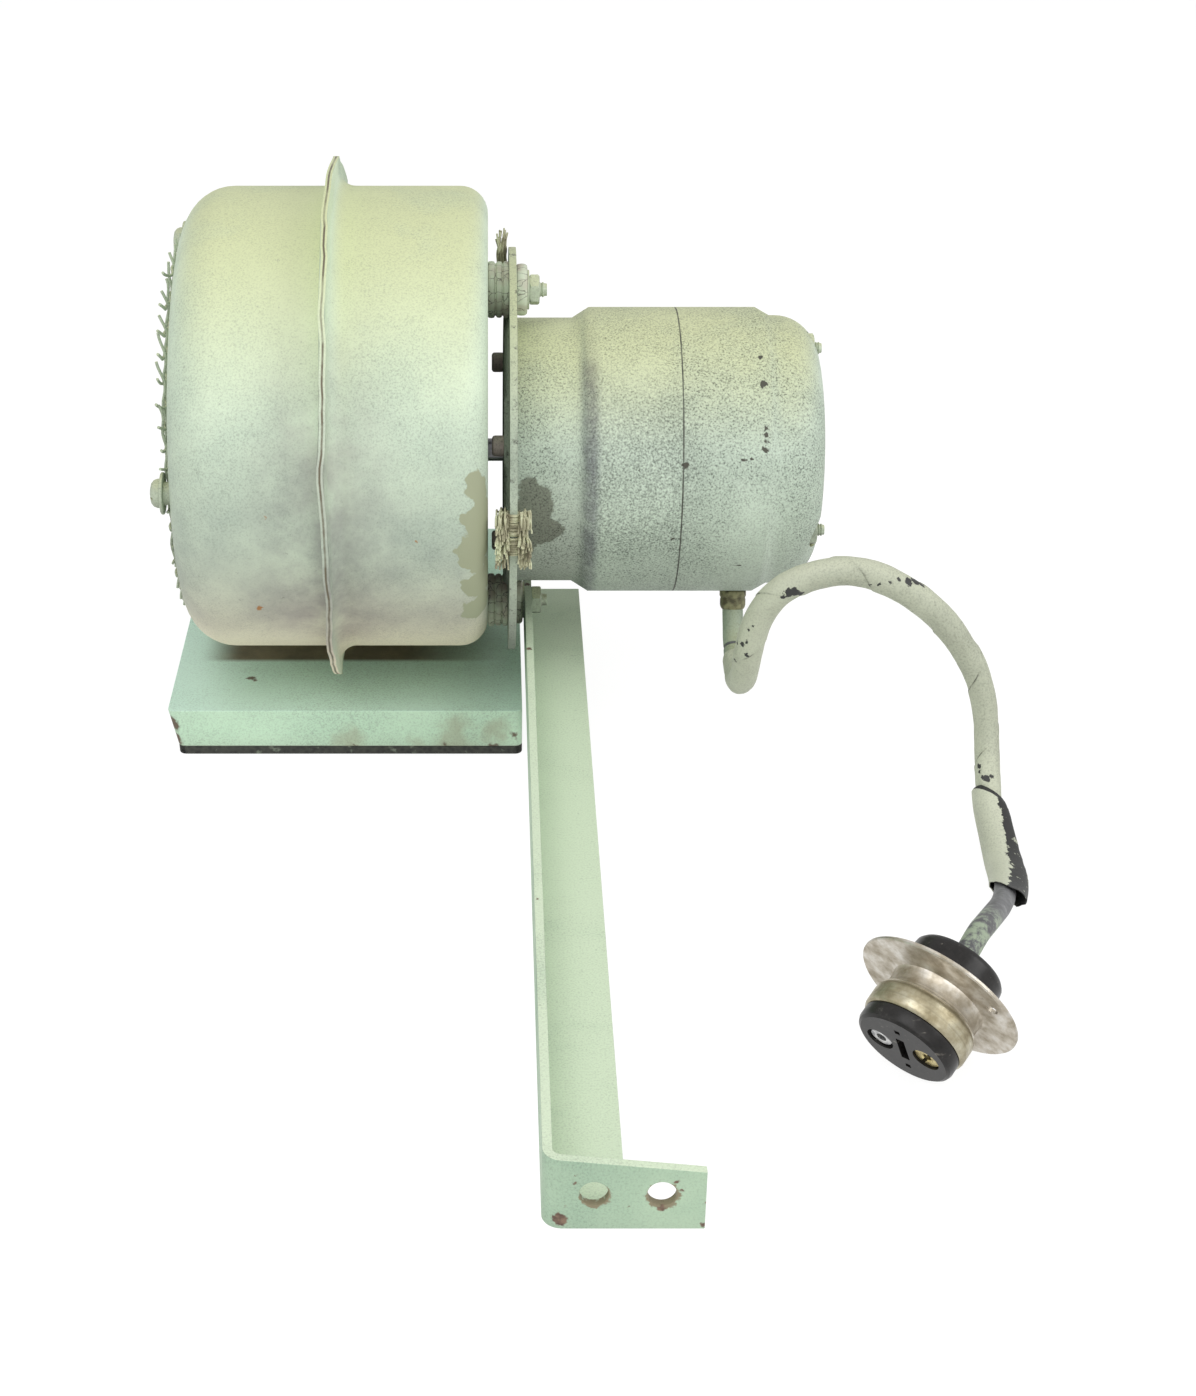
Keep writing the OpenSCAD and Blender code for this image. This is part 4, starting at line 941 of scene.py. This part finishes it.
# %% Grommet
GROMMET_DIR = Vector((0, -math.sin(math.radians(20)), -math.cos(math.radians(20))))
GROMMET_X = 94
GROMMET = [(0, 56.4), (3.9, 56.4), (3.9, 59.5), (5.4, 59.5), (5.6, 59.8), (5.6, 61.6), (5.3, 62.1),
           (5.2, 62.6), (5.4, 63.1), (5.4, 65.4), (5.1, 66.6), (4.6, 67.3), (0, 67.4)]
oily = mottled("oil_stained_rubber", 0.0, 0.6, 3, 5, [(0.38, "#4e4a33"), (0.62, "#8a8864")])
turn = GROMMET_DIR.to_track_quat("Z", "Y").to_matrix().to_4x4()
grommet_place = Matrix.Translation(Vector((GROMMET_X, 0, SHAFT_Z)) * MM) @ turn
fit(turned("cord_grommet", GROMMET, grommet_place), oily, "gland_rubber", "cable_gland")

# %% Bonding braids
copper = mottled("tarnished_braid", 0.1, 0.6, 5, 5, [(0.32, "#857f68"), (0.5, "#b3b193"), (0.66, "#d5d9b8")])
STRAND_R, STRAND_STEPS = 0.38, 4
RIM_Y, BRAID_Z = -84, 117
STUB_X, STUB_Y, STUB_FOOT, STUB_BEND, STUB_TIP = -4.6, 20, 189.5, 196, 206
LOBE_STRANDS, LOOP_STRANDS, FOLD_STRANDS, STUB_STRANDS = 70, 26, 30, 34
fray = random.Random(5)
strands = []
for side in (-1, 1):
    for k in range(LOBE_STRANDS):
        across = fray.uniform(-1, 1)
        deep = fray.uniform(0, 1)
        z = BRAID_Z - 3 + 8 * across
        spread = 1.7 + 5.4 * deep
        end_y = RIM_Y - 4.4 + 2.0 * across ** 2 + fray.uniform(-0.5, 0.7)
        strands.append([(side * 1.75, RIM_Y + 12, z), (side * 2.0, RIM_Y + 6, z + 0.5),
                        (side * (1.2 + 0.5 * spread), RIM_Y + 1, z + 0.4),
                        (side * (0.4 + 0.9 * spread), RIM_Y - 2, z - 1.2), (side * spread, end_y, z - 2.8)])
    for k in range(LOOP_STRANDS):
        x = side * fray.uniform(1.9, 6.6)
        y = RIM_Y + fray.uniform(-3.0, 6)
        top = BRAID_Z + 7 + fray.uniform(0, 3.4)
        lean = side * fray.uniform(0, 1.0)
        strands.append([(side * 1.9, RIM_Y + 7, BRAID_Z + 4), (0.6 * x + side * 0.6, y + 2, BRAID_Z + 6),
                        (x, y, top - 1), (x + 0.6 * lean, y - 1.2, top), (x + lean, y - 2.2, top - 1.4),
                        (x + lean, y - 2.6, top - 4)])
for k in range(FOLD_STRANDS):
    z = BRAID_Z - 8 + 17 * k / FOLD_STRANDS + fray.uniform(-0.4, 0.4)
    out = RIM_Y - 0.7 - fray.uniform(0, 1.1)
    strands.append([(-2.3, RIM_Y + 5, z), (-2.3, RIM_Y + 1, z + 0.3), (-1.2, out + 0.2, z + 0.5),
                    (1.2, out + 0.2, z + 0.5), (2.3, RIM_Y + 1, z + 0.3), (2.3, RIM_Y + 5, z)])
for k in range(STUB_STRANDS):
    off_y = fray.uniform(-4.6, 4.6)
    x = STUB_X + fray.uniform(-2, 2.2)
    tip = STUB_TIP + fray.uniform(-4, 2)
    strands.append([(x, STUB_Y + off_y, STUB_FOOT), (x + fray.uniform(-0.4, 0.4), STUB_Y + off_y, STUB_BEND),
                    (x + fray.uniform(-0.7, 0.7), STUB_Y + 1.1 * off_y, 0.5 * (STUB_BEND + tip)),
                    (x + fray.uniform(-0.8, 0.8), STUB_Y + 1.15 * off_y + fray.uniform(-0.6, 0.6), tip)])
lines = [smooth_line([Vector(p) * MM for p in strand], STRAND_STEPS) for strand in strands]
braid = as_mesh(curve_piece("bonding_braid_strands", lines, STRAND_R * MM, 1))
fit(braid, copper, "braid", "bonding_braids")
print("braid strands", len(strands), "faces", len(braid.data.polygons))

# %% [markdown]
# ## Cord finishes, tape and the torn flap
#
# Near the motor the cable was painted with the rest. From the bottom of its first bend it is wrapped
# in cloth tape, painted over too, and after the tape ends in a torn flap the bare grey rubber shows.
# The wrap is a tube swept along the cord's own line. Its radius drops by the tape's thickness once
# per turn, along a helix, which gives the fine slanting edges, and its UV map follows the wrap so
# that the dark seams lie on those edges.

# %% Cable rubber
rubber = Finish("worn_cable_rubber", 0.0, 0.55)
wear = rubber.noise(6, 6, 0.7)
rubber.colour = rubber.ramp(wear, [(0.35, "#4b4b4c"), (0.55, "#67686a"), (0.72, "#8a8b8a")])
near_cap = rubber.span(rubber.vector("DISTANCE", None, route[-2], "Value"), 34 * MM, 8 * MM)
rubber.lay("#9aa790", rubber.times(near_cap, rubber.ramp(wear, [(0.44, 0.0), (0.56, 1.0)])))
fit(cable, rubber.done(), "black_cable", "cord_tail")


# %% Tubes along the cord
def frames_along(line):
    """A side and an up vector for each point, carried along without twist."""
    side = Vector((1, 0, 0))
    result = []
    for i in range(len(line)):
        ahead = (line[min(i + 1, len(line) - 1)] - line[max(i - 1, 0)]).normalized()
        side = (side - ahead * side.dot(ahead)).normalized()
        result.append((side, ahead.cross(side)))
    return result


def tube(name, rows, uv_name, marks, thickness=0):
    """A tube through rings of points; its UV map holds each ring's mark and the share of a turn."""
    sides = len(rows[0])
    faces, uvs = [], []
    for i, (low, high) in enumerate(zip(marks, marks[1:])):
        for j in range(sides):
            a, b = i * sides + j, i * sides + (j + 1) % sides
            faces.append((a, b, b + sides, a + sides))
            uvs += [(low, j / sides), (low, (j + 1) / sides), (high, (j + 1) / sides), (high, j / sides)]
    mesh = bpy.data.meshes.new(name)
    mesh.from_pydata([point for row in rows for point in row], [], faces)
    for loop, uv in zip(mesh.uv_layers.new(name=uv_name).data, uvs):
        loop.uv = uv
    piece = new_piece(name, mesh)
    if thickness:
        thick = piece.modifiers.new("thickness", "SOLIDIFY")
        thick.thickness = thickness * MM
        thick.offset = 0
        apply_modifiers(piece)
    edit_all(piece, turn_outward)
    smooth(piece, 50)
    return piece


def swept(name, line, radius_at, sides, lap):
    """A tube round the line; radius_at(distance, turn) is in metres, lap is the length of one UV unit."""
    along = [0.0]
    for a, b in zip(line, line[1:]):
        along.append(along[-1] + (b - a).length)
    rows = []
    for point, (side, up), s in zip(line, frames_along(line), along):
        row = []
        for j in range(sides):
            turn = 2 * math.pi * j / sides
            row.append(point + radius_at(s, j / sides) * (math.cos(turn) * side + math.sin(turn) * up))
        rows.append(row)
    return tube(name, rows, "wrap", [s / lap for s in along])


# %% Painted lead
FINE_STEPS = 14
fine_line = smooth_line(route, FINE_STEPS)
lead_line = fine_line[:int((TAPE_START + 0.6) * FINE_STEPS)]
LEAD_R, LEAD_UNIT = 4.35, 10
RING_CRACK_AT, CRACK_DEEP, CRACK_WIDE = 17.5, 0.35, 0.7
LUMP_H, LUMP_MM = 0.12, 5


def lead_radius(s, turn):
    s /= MM
    turn *= 2 * math.pi
    dent = CRACK_DEEP * math.exp(-((s - RING_CRACK_AT) / CRACK_WIDE) ** 2)
    lump = LUMP_H * noise.noise(Vector((s / LUMP_MM, math.cos(turn), math.sin(turn))))
    return (LEAD_R - dent + lump) * MM


lead = swept("painted_lead", lead_line, lead_radius, 28, LEAD_UNIT * MM)
paint = old_paint("enamel_on_lead", "#a3b09c", "#87947f", "#aeb596", "#767e70", (35, 60), speck="#4d5046")
off_ring = paint.math("ABSOLUTE", paint.math("SUBTRACT", paint.uv("wrap", "X"), RING_CRACK_AT / LEAD_UNIT))
paint.lay("#33352e", paint.span(off_ring, 0.11, 0.04))
fit(lead, paint.done(), "painted_cable", "cord_lead")

# %% Tape wrap
tape_line = fine_line[TAPE_START * FINE_STEPS:TAPE_END * FINE_STEPS]
tape_l = length_of(tape_line) / MM
TAPE_R, TAPE_STEP, LAP_MM = 5.95, 0.4, 33
WRINKLE_H, FINE_WRINKLE_H, WRINKLE_MM = 0.28, 0.1, 13
THIN_START, THIN_OVER = 0.65, 32
TIGHT_BY, TIGHT_FROM, TIGHT_OVER = 0.75, 150, 60
TUCK_UNDER, TUCK_IN, TUCK_OUT = 0.3, 3.0, 1.6
BARE_PATCHES = [(105.9, -93.2, 95, 1.5), (107.9, -93.6, 96.8, 2.1), (109.9, -93.7, 97.3, 2.1),
                (112.5, -93.1, 96.2, 1.6), (138.8, -95.2, 101, 0.9), (142.2, -95.4, 101.3, 1.0),
                (146.3, -95.3, 102.2, 0.9), (150, -94, 102.8, 1.0), (154.4, -93.1, 101.2, 1.9),
                (157.9, -91, 101.2, 2.4), (160.9, -90.5, 100.3, 2.4), (163.9, -90, 98.6, 1.8),
                (186.8, -104.9, 25.4, 1.3), (186.9, -106.7, 23.8, 1.1), (187.6, -109.4, 22.6, 1.2),
                (189.3, -110.4, 22.8, 1.5), (191.5, -109.8, 23.6, 1.2), (89.8, -84.2, 70.1, 0.9),
                (91.4, -86.9, 70.9, 1.1), (92.9, -88.1, 72.6, 1.0), (93.3, -88.4, 78.3, 0.9),
                (95.1, -89.7, 80.5, 0.8), (89.5, -83.4, 62.2, 0.9), (93.2, -87.4, 66.6, 1.1)]


def tape_radius(s, turn):
    s /= MM
    lapped = (s / LAP_MM - turn) % 1
    turn *= 2 * math.pi
    round_at = Vector((math.cos(turn), math.sin(turn), s / WRINKLE_MM))
    r = TAPE_R - TAPE_STEP * lapped
    r += WRINKLE_H * noise.noise(round_at) + FINE_WRINKLE_H * noise.noise(4 * round_at)
    r -= THIN_START * math.exp(-(s / THIN_OVER) ** 2) + TIGHT_BY * clamped((s - TIGHT_FROM) / TIGHT_OVER)
    under = LEAD_R - TUCK_UNDER
    tucked = min(s / TUCK_IN, (tape_l - s) / TUCK_OUT, 1)
    return (under + (r - under) * math.sqrt(max(tucked, 0))) * MM


tape = swept("cloth_tape_wrap", tape_line, tape_radius, 44, LAP_MM * MM)
paint = old_paint("enamel_on_cloth_tape", "#c3c8b2", "#acb09d", "#c9cdb6", "#949986", (8, 40), grit=0.2,
                  speck="#8d8f7e")
lapped = paint.math("FRACT", paint.math("SUBTRACT", paint.uv("wrap", "X"), paint.uv("wrap", "Y")))
worn = paint.ramp(paint.noise(9, 5), [(0.46, 0.05), (0.62, 0.9)])
paint.lay("#4f5046", paint.times(paint.span(lapped, 0.035, 0.008), worn))
paint.lay("#2d2e2c", paint.spots(BARE_PATCHES, 0.8, 0.3))
fit(tape, paint.done(), "painted_tape", "cord_taped")

# %% Torn flap
CUFF_FROM, CUFF_TO = 21.5, 26.7
CUFF_ROWS, CUFF_SIDES, CUFF_R = 30, 48, 6.7
CUFF_TIP, CUFF_FRONT = math.radians(-18), math.radians(55)
CLOTH_MM, FLOOR_GAP, REACH_X = 0.28, 0.5, 196.8
NARROW_MM, EASE_SHARE = 1.2, 0.2
FLARE_MM, FLARE_FROM, PRESS_MM, PRESS_FROM = 2.9, 0.12, 0.55, 0.66
START_AT, START_SLANT, END_AT, END_LOBE, END_RAGGED = 0.085, 0.08, 0.72, 0.24, 0.03
cuff_line = fine_line[int(CUFF_FROM * FINE_STEPS):int(CUFF_TO * FINE_STEPS)]
cuff_frames = frames_along(cuff_line)


def cuff_point(share, angle, inset):
    """A point of the cuff at a share of its line, kept off the floor and inside the part's width."""
    at = share * (len(cuff_line) - 1)
    k = min(int(at), len(cuff_line) - 2)
    middle = cuff_line[k].lerp(cuff_line[k + 1], at - k)
    side, up = cuff_frames[k]
    rise = up if up.z > 0 else -up
    flared = clamped((share - FLARE_FROM) / EASE_SHARE) * max(math.cos(angle - CUFF_TIP), 0) ** 2
    pressed = clamped((share - PRESS_FROM) / EASE_SHARE) * max(math.sin(angle + 0.5), 0)
    r = CUFF_R - NARROW_MM * share ** 2 + FLARE_MM * flared - PRESS_MM * pressed - inset
    point = middle + r * MM * (math.cos(angle) * side + math.sin(angle) * rise)
    point.z = max(point.z, (FLOOR_GAP + inset) * MM)
    point.x = min(point.x, (REACH_X - inset) * MM)
    return point


def torn_cuff(name, inset, early, late):
    """The loose end of the tape: a flared cuff that is torn to a point on its right."""
    rows = [[] for i in range(CUFF_ROWS + 1)]
    for j in range(CUFF_SIDES):
        angle = 2 * math.pi * j / CUFF_SIDES
        ragged_end = END_RAGGED * noise.noise(Vector((3 * math.cos(angle), 3 * math.sin(angle), 4)))
        start = max(START_AT + START_SLANT * math.cos(angle) - early, 0)
        end = END_AT + END_LOBE * math.cos((angle - CUFF_FRONT) / 2) ** 2 + ragged_end + late
        for i, row in enumerate(rows):
            row.append(cuff_point(start + (end - start) * i / CUFF_ROWS, angle, inset))
    return tube(name, rows, "cuff", [i / CUFF_ROWS for i in range(CUFF_ROWS + 1)], CLOTH_MM)


paint = old_paint("enamel_on_torn_tape", "#cdd1bd", "#bcc0ad", "#cfd3bd", "#b5b9a6", (8, 40), grit=0.15,
                  speck="#9a9c8c")
torn = paint.noise(6, 5, 0.65)
swing = paint.add("Math", {"operation": "MULTIPLY_ADD", 1: 0.22, 2: -0.11}, {0: torn}).outputs[0]
edge_at = paint.math("ADD", paint.uv("cuff", "Y"), swing)
bared = paint.math("MAXIMUM", paint.span(edge_at, 0.215, 0.205), paint.span(edge_at, 0.82, 0.83))
paint.lay("#181917", paint.times(bared, paint.ramp(torn, [(0.60, 1.0), (0.63, 0.25)])))
flap = fit(torn_cuff("tape_flap", 0, 0, 0), paint.done(), "painted_tape")
# The black lining starts a little before the painted cuff, so a dark band shows along the cuff's upper edge:
# the tarred cloth, made wider to stand also for the shadow under that edge, a painted shade.
tar = mottled("tarred_cloth", 0.0, 0.7, 2, 4, [(0.4, "#1f201f"), (0.62, "#3a3b39")])
lining = fit(torn_cuff("tape_flap_lining", 0.3, 0.034, -0.015), tar, "black_cable")
print("tape", round(tape_l), "mm, faces", len(tape.data.polygons))

# %% [markdown]
# ## Connector
#
# The round connector lies tilted on the floor at the cord's end. Its spun aluminium shell has a thin
# mounting flange, a neck and a wider rolled band; a black moulded cap closes its back, and the
# black insert at its nose holds two contacts: a plated one and a brass one with a slot. Every piece
# is turned in its own frame, nose along +Z, drilled or slotted there, and then moved to its place.

# %% Connector shell and cap
CONNECTOR_PLACE = (Matrix.Translation(Vector((143.5, -267.3, 26.69)) * MM)
                   @ Matrix.Rotation(math.radians(-41.5), 4, "Z")
                   @ Matrix.Rotation(math.radians(117.16), 4, "X"))
ACROSS = CONNECTOR_PLACE.to_3x3() @ Vector((1, 0, 0))
NOSEWARD = CONNECTOR_PLACE.to_3x3() @ Vector((0, 0, 1))
SHELL = [(15.6, -1.5), (29.7, -1.5), (30, -1.2), (30, -0.4), (29.6, 0), (18.6, 0), (17.5, 0.4),
         (17.05, 1.4), (17, 6.2), (17.3, 6.9), (18.0, 7.3), (18.4, 7.5), (18.0, 7.9), (18.5, 8.3),
         (19.0, 9.0), (19.2, 10.0), (19.2, 15.4), (18.9, 16.4), (18.3, 17), (15.6, 17)]
CAP = [(0, -15), (14.4, -15), (15.9, -14.6), (16.8, -13.4), (17, -12), (17, -4.4), (16.6, -4.0),
       (16.6, -3.4), (17, -3.0), (17, -1.5), (0, -1.5)]
FLANGE_HOLE_R, FLANGE_HOLE_CIRCLE = 2.1, 24
RING_MM = 1.6
metal = Finish("dulled_aluminium", 0.85, 0.38)
haze = metal.noise(6, 7, 0.6)
metal.colour = metal.ramp(haze, [(0.32, "#9a907d"), (0.5, "#bdb5a6"), (0.68, "#dedad2")])
metal.lay("#5d5648", metal.ramp(metal.noise(3, 8, 0.8), [(0.60, 0.0), (0.70, 0.75)]))
height = metal.toward(CONNECTOR_PLACE.translation, NOSEWARD)
# Dark bands round the axis, by height: turning marks, and painted reflection that gives the dull shell its
# contrast.
rings = metal.add("TexNoise", {"noise_dimensions": "1D", "Scale": 1 / (RING_MM * MM), "Detail": 4},
                  {"W": height})
metal.lay(metal.ramp(rings.outputs["Fac"], [(0.32, 0.55), (0.5, 0.92), (0.66, 1.0)]), haze, "MULTIPLY")
metal.lay("#dcdac8", metal.span(height, 7 * MM, 9 * MM), "MULTIPLY")
metal.link(metal.ramp(haze, [(0.3, 0.50), (0.7, 0.28)]), "Roughness")
shell = turned("connector_spun_shell", SHELL, HERE, 96, True)
for angle in (20, 200):
    drill(shell, FLANGE_HOLE_R, -4, 3, (*polar(FLANGE_HOLE_CIRCLE, angle), 0), 28)
smooth(shell, 30)
shell.data.transform(CONNECTOR_PLACE)
fit(shell, metal.done(), "bare_aluminium", "connector_shell")

black = Finish("black_phenolic", 0.0, 0.32)
black.inputs["Specular IOR Level"].default_value = 0.25
black.colour = black.ramp(black.noise(5, 8, 0.75), [(0.36, "#161514"), (0.60, "#262423"), (0.74, "#4b4946")])
stretched = black.add("Mapping", {"Scale": (0.25, 1.6, 1.6), "Rotation": (0.4, 0.2, 0.9)},
                      {"Vector": black.coords})
scratches = black.noise(2.5, 3, at=stretched.outputs["Vector"])
black.lay("#8a857c", black.ramp(scratches, [(0.68, 0.0), (0.75, 0.6)]))
phenolic = black.done()
cap = turned("connector_moulded_cap", CAP, CONNECTOR_PLACE, 72)
fit(cap, phenolic, "black_phenolic", "connector_back_cap")

# %% Connector insert and contacts
CONTACT_X, CONTACT_R, CONTACT_FOOT = 9, 5, 15.2
INSERT = [(0, -1), (15.5, -1), (15.5, 17), (17.9, 17), (18.2, 17.4), (18.2, 21.0), (17.7, 22.2),
          (16.6, 23), (0, 23)]
INSERT_SLOTS = [((0, 0, 23), (3.2, 12, 6)), ((0, 10.6, 23), (2, 2, 4)), ((0, -10.6, 23), (2, 2, 4))]
PLATED = [(1.9, CONTACT_FOOT), (CONTACT_R, CONTACT_FOOT), (CONTACT_R, 20.8), (4.6, 21.2), (2.5, 21.2),
          (1.9, 20.6)]
BRASS = [(1.6, CONTACT_FOOT), (CONTACT_R, CONTACT_FOOT), (CONTACT_R, 21.6), (4.6, 22.1), (2.2, 22.2),
         (1.6, 21.8)]
insert = turned("connector_moulded_insert", INSERT, HERE, 72)
for x in (-CONTACT_X, CONTACT_X):
    drill(insert, CONTACT_R + 0.05, CONTACT_FOOT, 24, (x, 0, 0), 40)
for at, size in INSERT_SLOTS:
    cut_slot(insert, at, size)
smooth(insert, 30)
insert.data.transform(CONNECTOR_PLACE)
fit(insert, phenolic, "black_phenolic", "connector_insert")

plated = turned("plated_contact", PLATED, Matrix.Translation((-CONTACT_X * MM, 0, 0)), 40, True)
head = hex_nut("plated_hexagon", 8.2, 1.2, 1.9, Matrix.Translation((-CONTACT_X * MM, 0, 21.0 * MM)))
brass = turned("brass_contact", BRASS, Matrix.Translation((CONTACT_X * MM, 0, 0)), 40, True)
cut_slot(brass, (CONTACT_X, 0, 22), (14, 1.3, 2.6), 60)
contacts = joined("connector_contact_pair", [plated, head, brass])
contacts.data.transform(CONNECTOR_PLACE)
metal = Finish("contact_metals", 0.9, 0.35)
stain = metal.noise(2, 5)
metal.colour = metal.ramp(stain, [(0.35, "#8f8f92"), (0.6, "#d8d8d6")])
on_brass = metal.span(metal.toward(CONNECTOR_PLACE.translation, ACROSS), -1 * MM, 1 * MM)
metal.lay(metal.ramp(stain, [(0.35, "#8a7a4c"), (0.6, "#cdbf8a")]), on_brass)
fit(contacts, metal.done(), "contact_metal", "connector_contacts")

print("connector done")

# %% [markdown]
# ## What is inside
#
# The wheel, the motor's core and the bearings hardly show, but the rotor turns behind the guard and a
# view from below looks up into the outlet. They stay as their CAD solids with simple metal
# finishes: galvanised sheet for the wheel, rolled and turned steel, and enamelled copper.

# %% Finishes of the inner parts
def plain_metal(name, dark, light, metallic, roughness, grain_mm):
    metal = Finish(name, metallic, roughness)
    mottle = metal.noise(grain_mm, 6, 0.65)
    metal.colour = metal.ramp(mottle, [(0.36, dark), (0.64, light)])
    metal.link(metal.ramp(mottle, [(0.3, roughness + 0.12), (0.7, roughness)]), "Roughness")
    return metal.done()


galvanised = plain_metal("dusty_galvanised_sheet", "#6f736e", "#a2a69f", 0.5, 0.5, 14)
turned_steel = plain_metal("turned_steel", "#77777a", "#b0b0b2", 0.9, 0.3, 6)
rolled_steel = plain_metal("laminated_steel", "#4a4a4c", "#6c6c70", 0.8, 0.45, 8)
cast_metal = plain_metal("cast_aluminium", "#8c8d8c", "#bdbebd", 0.8, 0.45, 4)
enamelled_copper = plain_metal("enamelled_copper", "#6a3216", "#a85a2a", 0.4, 0.35, 3)
INNER_PARTS = [
    (galvanised, "sheet_metal", "inlet_ring", "impeller_backplate", "impeller_blades", "impeller_front_ring"),
    (turned_steel, "sheet_metal", "impeller_hub"),
    (turned_steel, "steel", "hub_setscrew", "motor_shaft", "front_bearing", "rear_bearing"),
    (rolled_steel, "steel", "rotor_core", "stator_core"),
    (cast_metal, "cast_aluminium", "rotor_end_rings"),
    (enamelled_copper, "copper_windings", "stator_windings"),
]
for material, slot_name, *names in INNER_PARTS:
    for name in names:
        nodes[name].data.materials.clear()
        nodes[name].data.materials.append(material)
print("inner finishes", len(INNER_PARTS))
